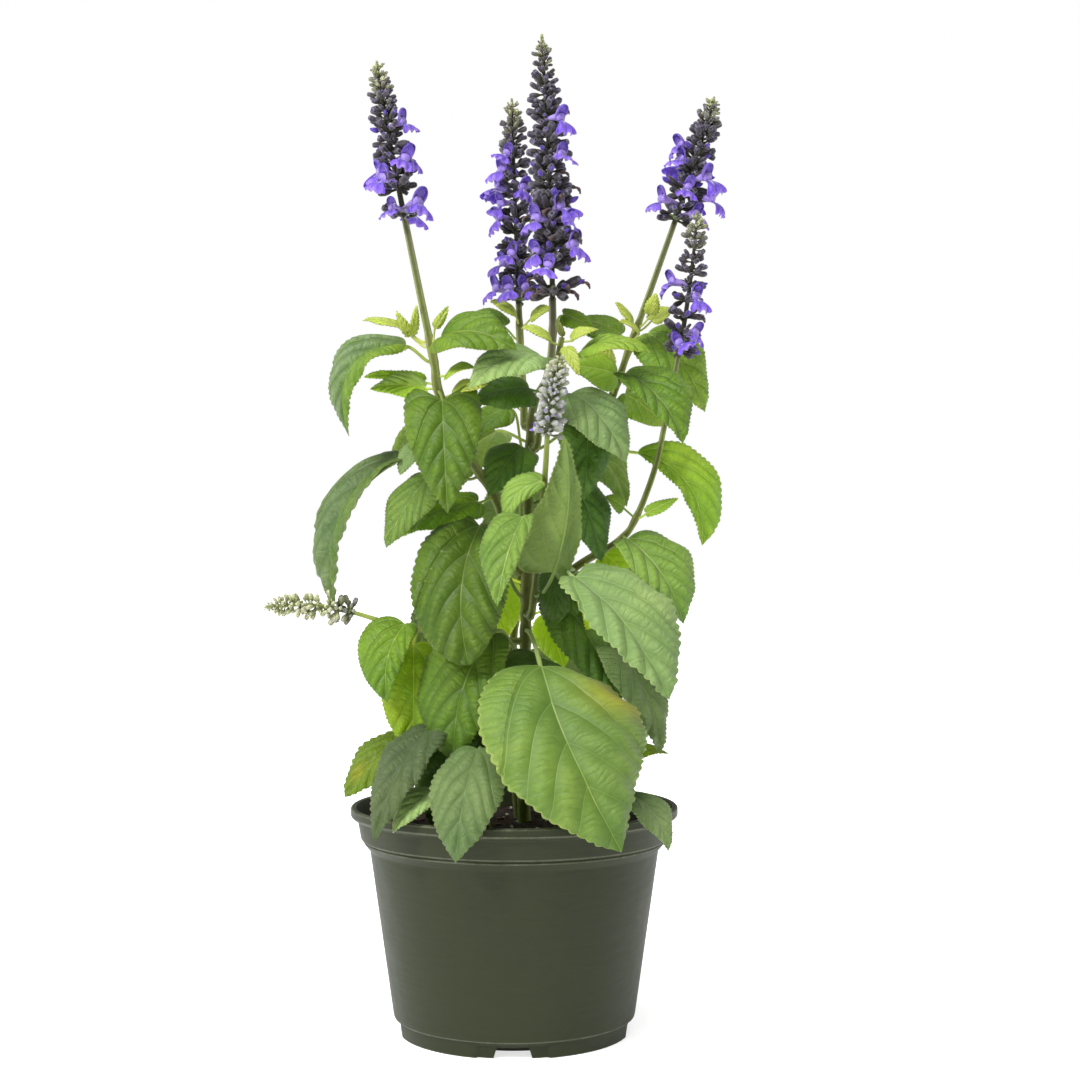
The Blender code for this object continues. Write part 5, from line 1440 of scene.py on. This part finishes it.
@dataclass(frozen=True)
class Corolla:
    """A two-lipped flower with x forwards, y sideways and z up, in units of the size that it gets."""

    lip_half: float = 0.56
    lip_fall: float = 84.0
    hood_reach: float = 0.34

    LIP_REACH = 0.66
    THICKNESS = 0.03
    PLAIN = {"white": 0.0, "pale": 0.0, "upper": 1.0}

    def parts(self) -> list[Patch]:
        """The tube, the hood and the lip."""
        return [self.throat(), self.hood(), self.lip()]

    def throat(self) -> Patch:
        """The tube: rings along a line that rises a little, widening from 0.09 to 0.17 towards the mouth."""
        x = np.linspace(-0.45, 0.32, 8)
        path = np.stack((x, 0 * x, 0.06 * np.sin(2.2 * (x + 0.45))), axis=-1)
        radii = 0.09 + 0.08 * ease(-0.45, 0.3, x)
        patch = tube(path, radii, 12, (0.0, 1.0, 0.0), lambda a: 1 + 0.12 * np.cos(2 * a))
        return patch.with_values(dark=0.05, white=0.0, pale=np.repeat(0.8 - 0.3 * ease(-0.2, 0.3, x), 12),
                                 faded=0.0, upper=1.0)

    def hood(self) -> Patch:
        """The helmet: arcs over the tube's mouth whose centres rise forwards, narrowing to a blunt end."""
        t, u = np.meshgrid(np.linspace(0, 1, 9), np.linspace(-1, 1, 9), indexing="ij")
        spread = np.radians(118 - 50 * t)
        radius = 0.19 + 0.05 * np.sin(math.pi * t) - 0.10 * t**3
        x = 0.18 + self.hood_reach * (t - 0.18 * t**2)
        z = 0.06 + 0.5 * t - 0.16 * t**2
        surface = np.stack((x - 0.1 * np.cos(u * spread) * radius, radius * np.sin(u * spread),
                            z + radius * np.cos(u * spread)), axis=-1)
        return shell(surface[:, ::-1], self.THICKNESS, dark=0.35 + 0.4 * t, white=0 * t, pale=0.25 * (1 - t),
                     faded=0 * t)

    def lip(self) -> Patch:
        """The lower lip: a fan that runs forwards and falls, with a notched middle lobe and two small ones.

        Along t it follows an arc of lip_fall degrees; across u it spreads to lip_half and folds back.
        """
        t, u = np.meshgrid(np.linspace(0, 1, 13), np.linspace(-1, 1, 25), indexing="ij")
        rim = 1 - 0.3 * np.abs(u) ** 3 - 0.1 * bell(np.abs(u), 0.56, 0.09) - 0.07 * bell(u, 0, 0.08)
        run = t * rim
        turn = np.radians(self.lip_fall) * run
        half = 0.10 + (self.lip_half - 0.10) * ease(0.0, 0.75, run)
        x = 0.26 + self.LIP_REACH * 0.62 * np.sin(turn) - 0.10 * np.abs(u) ** 2 * run
        z = -0.08 - self.LIP_REACH * 0.60 * (1 - np.cos(turn)) - 0.20 * np.abs(u) ** 1.7 * run
        ripple = 0.075 * run**2 * np.sin(9.5 * u) + 0.03 * run * bell(u, 0, 0.3)
        surface = np.stack((x + ripple, half * u, z + 0.6 * ripple), axis=-1)
        streak = bell(np.abs(u), 0.17, 0.09) * (1 - ease(0.12, 0.55, run))
        stripes = 0.3 * (0.5 - 0.5 * np.cos(6 * math.pi * u)) * (1 - run)
        dark = 0.75 * bell(u, 0, 0.5) * bell(run, 0.35, 0.3) + stripes
        return shell(surface[:, ::-1], self.THICKNESS, dark=dark, white=np.clip(streak * 1.3, 0, 1),
                     pale=0.4 * ease(0.7, 1.0, run), faded=0 * t)

    def bud(self) -> Patch:
        """A closed corolla that just shows in its calyx: a blunt club that bends up a little."""
        t = np.linspace(0, 1, 7)
        path = np.stack((-0.1 + 0.5 * t, 0 * t, 0.1 * t**2), axis=-1)
        patch = tube(path, 0.03 + 0.11 * np.sin(math.pi * t**0.8) ** 0.7, 8, (0.0, 1.0, 0.0))
        return patch.with_values(dark=0.55, faded=0.0, **self.PLAIN)

    def shred(self) -> Patch:
        """A wilted corolla: a shrunken dark tube that bends down and ends in a crumpled knob."""
        t = np.linspace(0, 1, 12)
        path = np.stack((0.62 * np.sin(1.6 * t), 0.1 * np.sin(6 * t), 0.05 - 0.42 * t**2.2), axis=-1)
        radii = 0.085 * (1 - 0.3 * t) * (1 + 0.9 * np.sin(6.5 * t) ** 2)
        patch = tube(path, radii, 8, (0.0, 1.0, 0.0), lambda a: 1 + 0.5 * np.cos(2 * a))
        return patch.with_values(dark=0.6, faded=1.0, **self.PLAIN)


SPIKES = (
    Spike("left", "left", (-74, -25, 528), 9.4, 18, (
        (0.06, 210), (0.04, 318), (0.22, 215), (0.30, 268), (0.28, 196), (0.36, 325), (0.56, 332)),
        first=0.2, gap=True, bloom=15.5),
    Spike("centre", "main", (15, 2, 550), 12.1, 19, (
        (0.12, 265), (0.18, 235), (0.27, 222), (0.17, 312), (0.28, 322), (0.31, 300), (0.5, 318),
        (0.68, 325)),
        ((0.03, 205), (0.03, 240), (0.03, 310), (0.03, 350), (0.03, 335), (0.03, 190), (0.42, 355),
         (0.46, 340), (0.7, 350), (0.3, 200), (0.2, 285), (0.38, 300), (0.33, 250), (0.24, 345), (0.15, 205)),
        ripe=1.0, first=0.12, last_step=4.7, gap=True, taper=0.38, buds=20),
    Spike("back_left", "back_left", (-2, 30, 521), 9.8, 16, (
        (0.04, 210), (0.06, 262), (0.03, 300), (0.16, 212), (0.22, 240), (0.42, 214), (0.5, 222), (0.62, 235),
        (0.72, 262), (0.58, 300), (0.54, 205)), ((0.1, 330),), ripe=0.96, first_step=7.6),
    Spike("right", "right", (112, 20, 519), 10.0, 18, (
        (0.06, 312), (0.2, 328), (0.14, 214), (0.34, 322), (0.42, 222), (0.58, 212), (0.26, 300)), ripe=0.92),
    Spike("right_low", "right_low", (101, 0, 451), 9.0, 16, (
        (0.0, 300), (0.14, 318), (0.46, 205), (0.44, 292)), ((0.24, 330), (0.25, 345)),
        first_step=9.5, last_step=3.6, bloom=14.0),
    Spike("front", "front", (26, -47, 367), 7.3, 20, ((0.06, 200),),
          ripe=0.75, first_step=4.4, last_step=2.8, frost=0.88, bloom=5.0, buds=0),
    Spike("side", "side", (-133, -34, 234), 7.4, 15,
          ripe=0.12, first_step=5.6, last_step=1.9, frost=0.3, taper=0.34, buds=0),
)


@dataclass(frozen=True)
class Pot:
    """The nursery pot: a turned wall with a rolled lip, a band, a double line and a notched foot ring."""

    outside: Pairs = (
        (46.0, 0.0), (49.0, 5.5), (59.0, 5.5), (60.5, 0.0), (63.6, 0.0), (63.9, 2.0), (64.2, 4.0),
        (64.5, 6.0), (64.8, 8.4), (66.3, 9.0), (66.7, 11.0), (79.5, 100.4), (82.3, 103.6), (83.1, 104.6),
        (82.5, 105.7), (84.4, 106.5), (84.7, 108.0), (86.4, 117.4), (88.6, 118.0))
    lip: Pairs = ((90.0, 119.2), (90.0, 123.2), (89.2, 124.0), (87.3, 124.0))
    inside: Pairs = (
        (86.2, 121.0), (82.8, 106.0), (78.0, 99.6), (63.8, 7.4), (47.9, 7.4), (44.9, 1.9))
    rounding: float = 0.45
    columns: int = 72
    notches: int = 4
    notch_height: float = 6.0
    notch_half: float = 9.4
    foot_top: float = 8.4
    ring: tuple[float, float] = (59.5, 65.5)
    pad_depth: float = 1.7
    pad_half: tuple[float, float] = (19.6, 18.8)
    pad_top: tuple[float, float] = (7.8, 6.8)
    pad_skin: float = 62.5
    notch_soft: tuple[float, float] = (1.2, 1.0)

    def profile(self) -> tuple[Array, Array]:
        """The wall's section and, at each of its points, how worn and how brightly highlighted it is: 1 where
        an edge stands out, as rubbed plastic with a painted highlight.

        Each corner is rounded by a quadratic curve between points near it, and one more point close to each
        side of it keeps what lies between flat.
        """
        corners = np.array((*self.outside, *self.lip, *self.inside))
        before, after = np.roll(corners, 1, axis=0)[1:-1], np.roll(corners, -1, axis=0)[1:-1]
        middle = corners[1:-1]
        lengths = [np.linalg.norm(other - middle, axis=1, keepdims=True) for other in (before, after)]
        reach = np.minimum(np.minimum(*lengths) * 0.4, 1.3 * self.rounding)
        (early, start), (late, end) = ((middle + unit(other - middle) * reach * 1.24,
                                        middle + unit(other - middle) * reach) for other in (before, after))
        bends = [(1 - t) ** 2 * start + 2 * t * (1 - t) * middle + t**2 * end for t in (0, 0.5, 1)]
        rows = np.vstack((corners[:1], np.stack((early, *bends, late), axis=1).reshape(-1, 2), corners[-1:]))
        turn = np.cross(unit(middle - before), unit(after - middle))
        # Convex edges get the most: rubbed wear and a painted highlight.
        wear = ease(0.25, 0.8, turn)[:, None] * np.array((0.0, 0.6, 1.0, 0.6, 0.0))
        return rows, np.concatenate(((0.0,), wear.ravel(), (0.0,)))

    def turns(self) -> Array:
        """Angles round the wall: even ones, and closer ones at the notches, which sit on the axes."""
        close = [middle + np.radians(np.linspace(-18, 18, 43)) for middle in around(self.notches)]
        return np.unique(np.round(np.mod(np.concatenate((around(self.columns), *close)), 2 * math.pi), 4))

    def build(self, finishes: Finishes) -> None:
        """Turns the wall about z, lifts the foot's edge at the notches and sinks the wall beside them."""
        (profile, wear), angles = self.profile(), self.turns()
        radius, height = (np.repeat(profile[:, i][:, None], len(angles), axis=1) for i in (0, 1))
        step = 2 * math.pi / self.notches
        offset = np.abs(np.mod(angles + step / 2, step) - step / 2)[None, :] * radius
        in_ring = (radius > self.ring[0]) & (radius < self.ring[1]) & (height < self.foot_top)
        wide, narrow = self.notch_half + self.notch_soft[0], self.notch_half - self.notch_soft[1]
        opening = self.notch_height * ease(wide, narrow, offset)
        height = np.where(in_ring, opening + height * (1 - opening / self.foot_top), height)
        pad = ease(*self.pad_half, offset) * ease(*self.pad_top, height)
        radius = radius - self.pad_depth * pad * (radius > self.pad_skin)
        wall = closed_rings(np.stack((radius * np.cos(angles), radius * np.sin(angles), height), axis=-1))
        wall.with_values(wear=np.repeat(wear, len(angles)))
        make_piece("nursery_pot", wall, finishes.pot, Slot.POT, "pot")


@dataclass(frozen=True)
class Soil:
    """The soil: a crumbly surface in the pot, with white grains of perlite and chips of bark on it.

    Two rings, each given by its radius and height, make its body below the surface. CRUMBS are the sizes
    and depths of its lumps, and CENTRE is the radius of the smallest ring, which closes it on top.
    """

    top: float = 112.0
    wave: float = 1.6
    edge: float = 83.2
    floor_ring: tuple[float, float] = (63.0, 8.0)
    wall_ring: tuple[float, float] = (77.2, 98.0)
    rings: int = 62
    columns: int = 190
    seed: int = 5

    CRUMBS = ((7.0, 0.9), (3.2, 0.9), (1.7, 0.45))
    CENTRE = 0.2

    def height(self, x: Array, y: Array) -> Array:
        """Level of the soil: a broad low wave and a finer one, with crumbs of three sizes from noise."""
        broad, fine = np.sin(0.11 * x + 0.6) * np.cos(0.13 * y - 0.4), np.sin(0.21 * x - 0.17 * y)
        crumbs = sum(depth * lattice_noise(np.stack((x, y), axis=-1), cell, self.seed + i)
                     for i, (cell, depth) in enumerate(self.CRUMBS))
        level = self.top + self.wave * (broad + 0.5 * fine)
        return level + crumbs - 2.0 * ease(0.86, 1.0, np.hypot(x, y) / self.edge)

    def crumb(self, rings: int = 7, columns: int = 8) -> Patch:
        """A lump of one unit: a ball of rings whose radius wanders with the angles."""
        high, angles = np.linspace(-1, 1, rings)[:, None], around(columns)
        flat = np.sqrt(np.maximum(1 - high**2, 0.02))
        uneven = 1 + 0.22 * np.sin(3 * angles + 4 * high) + 0.12 * np.cos(5 * angles)
        x, y = flat * np.cos(angles) * uneven, flat * np.sin(angles) * uneven
        return closed_rings(0.5 * np.stack((x, y, np.broadcast_to(high, x.shape)), axis=-1))

    def scatter(self, count: int, low: Point, high: Point, seed: int) -> Patch:
        """Lumps strewn on the surface, turned at random.

        Args:
            count: How many there are.
            low: The smallest size along each of a lump's axes.
            high: The largest.
            seed: Starts the random draw.

        Returns:
            The lumps as one patch.
        """
        draw = np.random.default_rng(seed)
        radius = self.edge * 0.97 * np.sqrt(draw.uniform(0, 1, count))
        angle = draw.uniform(0, 2 * math.pi, count)
        x, y = radius * np.cos(angle), radius * np.sin(angle)
        first = unit(draw.normal(0, 1, (count, 3)) * (1, 1, 0.25))
        third = across(UPRIGHT, first)
        sizes = draw.uniform(low, high, (count, 3))
        places = np.stack((x, y, self.height(x, y) + 0.15 * sizes[:, 2]), axis=-1)
        return copies(self.crumb(), places, np.stack((first, np.cross(third, first), third), axis=1), sizes)

    def build(self, finishes: Finishes) -> None:
        """Makes the surface with its closed body below, then the grains and the chips."""
        angles, below = around(self.columns), np.array((self.floor_ring, self.wall_ring))
        spread = np.maximum(self.edge * np.linspace(1, 0, self.rings) ** 0.85, self.CENTRE)
        radius = np.concatenate((below[:, 0], spread))[:, None]
        x, y = radius * np.cos(angles), radius * np.sin(angles)
        level = self.height(x, y)
        level[:2] = below[:, 1:]
        soil = closed_rings(np.stack((x, y, level), axis=-1))
        make_piece("potting_soil", soil, finishes.soil, Slot.SOIL, "soil")
        for name, finish, lumps in (
                ("perlite", finishes.perlite, self.scatter(90, (1.2, 1.2, 1.0), (3.4, 2.8, 2.2), 11)),
                ("bark_chips", finishes.bark, self.scatter(130, (2.5, 1.2, 0.8), (9.0, 3.0, 1.8), 12))):
            make_piece(name, lumps, finish, Slot.SOIL, "soil")


@dataclass(frozen=True)
class Plant:
    """Everything that grows: the stems, the leaves, the small leaves and the flower spikes."""

    stems: tuple[Stem, ...] = STEMS
    leaves: tuple[Leaf, ...] = LEAVES
    sprigs: tuple[Leaf, ...] = SPRIGS
    spikes: tuple[Spike, ...] = SPIKES

    def routes(self) -> dict[str, Route]:
        """The path of each stem, parents first."""
        found: dict[str, Route] = {}
        for stem in self.stems:
            found[stem.name] = stem.route(found)
        return found

    def joints(self, name: str) -> list[float]:
        """The heights on a stem at which leaves, small leaves or branches leave it."""
        return ([leaf.height for leaf in (*self.leaves, *self.sprigs) if leaf.stem == name]
                + [stem.points[0][2] for stem in self.stems if stem.parent == name])

    def build(self, finishes: Finishes) -> None:
        """Makes every piece of the plant, from the stems outwards."""
        routes = self.routes()
        for stem in self.stems:
            stem.build(routes[stem.name], self.joints(stem.name), finishes)
        named = [(leaf, "foliage_" + leaf.name, "leaf_" + leaf.name) for leaf in self.leaves]
        named += [(leaf, f"sprig_{leaf.stem}_{leaf.name}", "stem_" + leaf.stem) for leaf in self.sprigs]
        for leaf, name, node in named:
            make_piece(name, leaf.patch(routes[leaf.stem]), finishes.leaves[leaf.tone], Slot.LEAF, node)
        for spike in self.spikes:
            spike.build(routes[spike.stem], finishes)


@dataclass(frozen=True)
class Studio:
    """The pale floor, the soft light and the camera, which is level and looks along +Y."""

    camera_at: Point = (14.1, -1050.0, 270.0)
    lens: float = 63.33
    sensor: float = 36.0
    floor_half: float = 9000.0
    ambient: float = 0.26
    aim: Point = (10.0, 0.0, 260.0)

    def build(self, finishes: Finishes) -> None:
        """Makes the floor, the sky, the lamps and the camera."""
        self.add_floor(finishes)
        self.add_sky()
        self.add_sun(tilt=22.0, turn=-20.0, softness=36.0, strength=2.2)
        self.add_lamp("key", (-950, -1150, 1250), size=400, power=20.0)
        self.add_lamp("left side", (-1500, 700, 700), size=1100, power=3.8)
        self.add_lamp("right side", (1500, 700, 700), size=1100, power=4.0)
        self.add_camera()
        bpy.context.scene.view_settings.view_transform = "Standard"

    def place(self, name: str, data: Any, at: Sequence[float], turn: Sequence[float]) -> bpy.types.Object:
        """Puts an object into the scene, with its place in millimetres and its turn in radians.

        Args:
            name: Its name.
            data: Its mesh, light or camera.
            at: Its place.
            turn: Its turn about x, y and z.

        Returns:
            The new object.
        """
        made = bpy.data.objects.new(name, data)
        made.location = [value * MM for value in at]
        made.rotation_euler = turn
        bpy.context.scene.collection.objects.link(made)
        return made

    def add_floor(self, finishes: Finishes) -> None:
        """A wide flat floor, cut into a grid so that it isn't one single face."""
        half = self.floor_half * MM
        steps = np.linspace(-half, half, 9)
        x, y = np.meshgrid(steps, steps)
        points = np.stack((x, y, np.zeros_like(x)), axis=-1).reshape(-1, 3)
        mesh = bpy.data.meshes.new("studio_floor")
        mesh.from_pydata(points.tolist(), [], grid_quads(9, 9).tolist())
        mesh.materials.append(finishes.floor)
        floor = self.place("studio_floor", mesh, (0, 0, 0), (0, 0, 0))

    def add_sky(self) -> None:
        """An even surround: white to look at, and dimmer as light on the plant."""
        world = bpy.data.worlds.new("surround")
        world.use_nodes = True
        board = Board(world.node_tree)
        seen = board.node("LightPath").outputs["Is Camera Ray"]
        board.fill(world.node_tree.nodes["Background"], Color=(1.0, 1.0, 1.0),
                   Strength=board.scaled(seen, self.ambient, 1.0))
        bpy.context.scene.world = world

    def add_sun(self, tilt: float, turn: float, softness: float, strength: float) -> None:
        """A soft sun as the ceiling's light, the same everywhere on the floor.

        Args:
            tilt: How far it leans from straight down, in degrees, towards the camera's side.
            turn: Its turn about z in degrees.
            softness: Its size as an angle in degrees.
            strength: Its irradiance in watts a square metre.
        """
        light = bpy.data.lights.new("ceiling", "SUN")
        light.angle, light.energy = math.radians(softness), strength
        self.place("ceiling", light, (0, 0, 0), (math.radians(tilt), 0.0, math.radians(turn)))

    def add_lamp(self, name: str, at: Point, size: float, power: float) -> None:
        """A square soft lamp that looks at the plant's middle.

        Args:
            name: Its name.
            at: Its place in millimetres.
            size: Its side in millimetres.
            power: Its power in watts.
        """
        light = bpy.data.lights.new(name, "AREA")
        light.size, light.energy = size * MM, power
        way = -unit(np.subtract(at, self.aim))
        self.place(name, light, at, (math.acos(-way[2]), 0.0, math.atan2(way[1], way[0]) - math.pi / 2))

    def add_camera(self) -> None:
        """The camera at the photograph's place."""
        view = bpy.data.cameras.new("view")
        view.lens, view.sensor_width = self.lens, self.sensor
        view.clip_start, view.clip_end = 0.01, 60.0
        bpy.context.scene.camera = self.place("view", view, self.camera_at, (math.pi / 2, 0.0, 0.0))


def main() -> None:
    logging.basicConfig(level=logging.INFO, format="%(message)s")
    finishes = Finishes()
    Studio().build(finishes)
    Pot().build(finishes)
    Soil().build(finishes)
    Plant().build(finishes)
    bpy.context.view_layer.update()
    shown = [name for name, node in frame["nodes"].items() if not node.hide_render]
    LOG.info("solids still shown: %s", shown or "none")


if __name__ == "__main__":
    main()
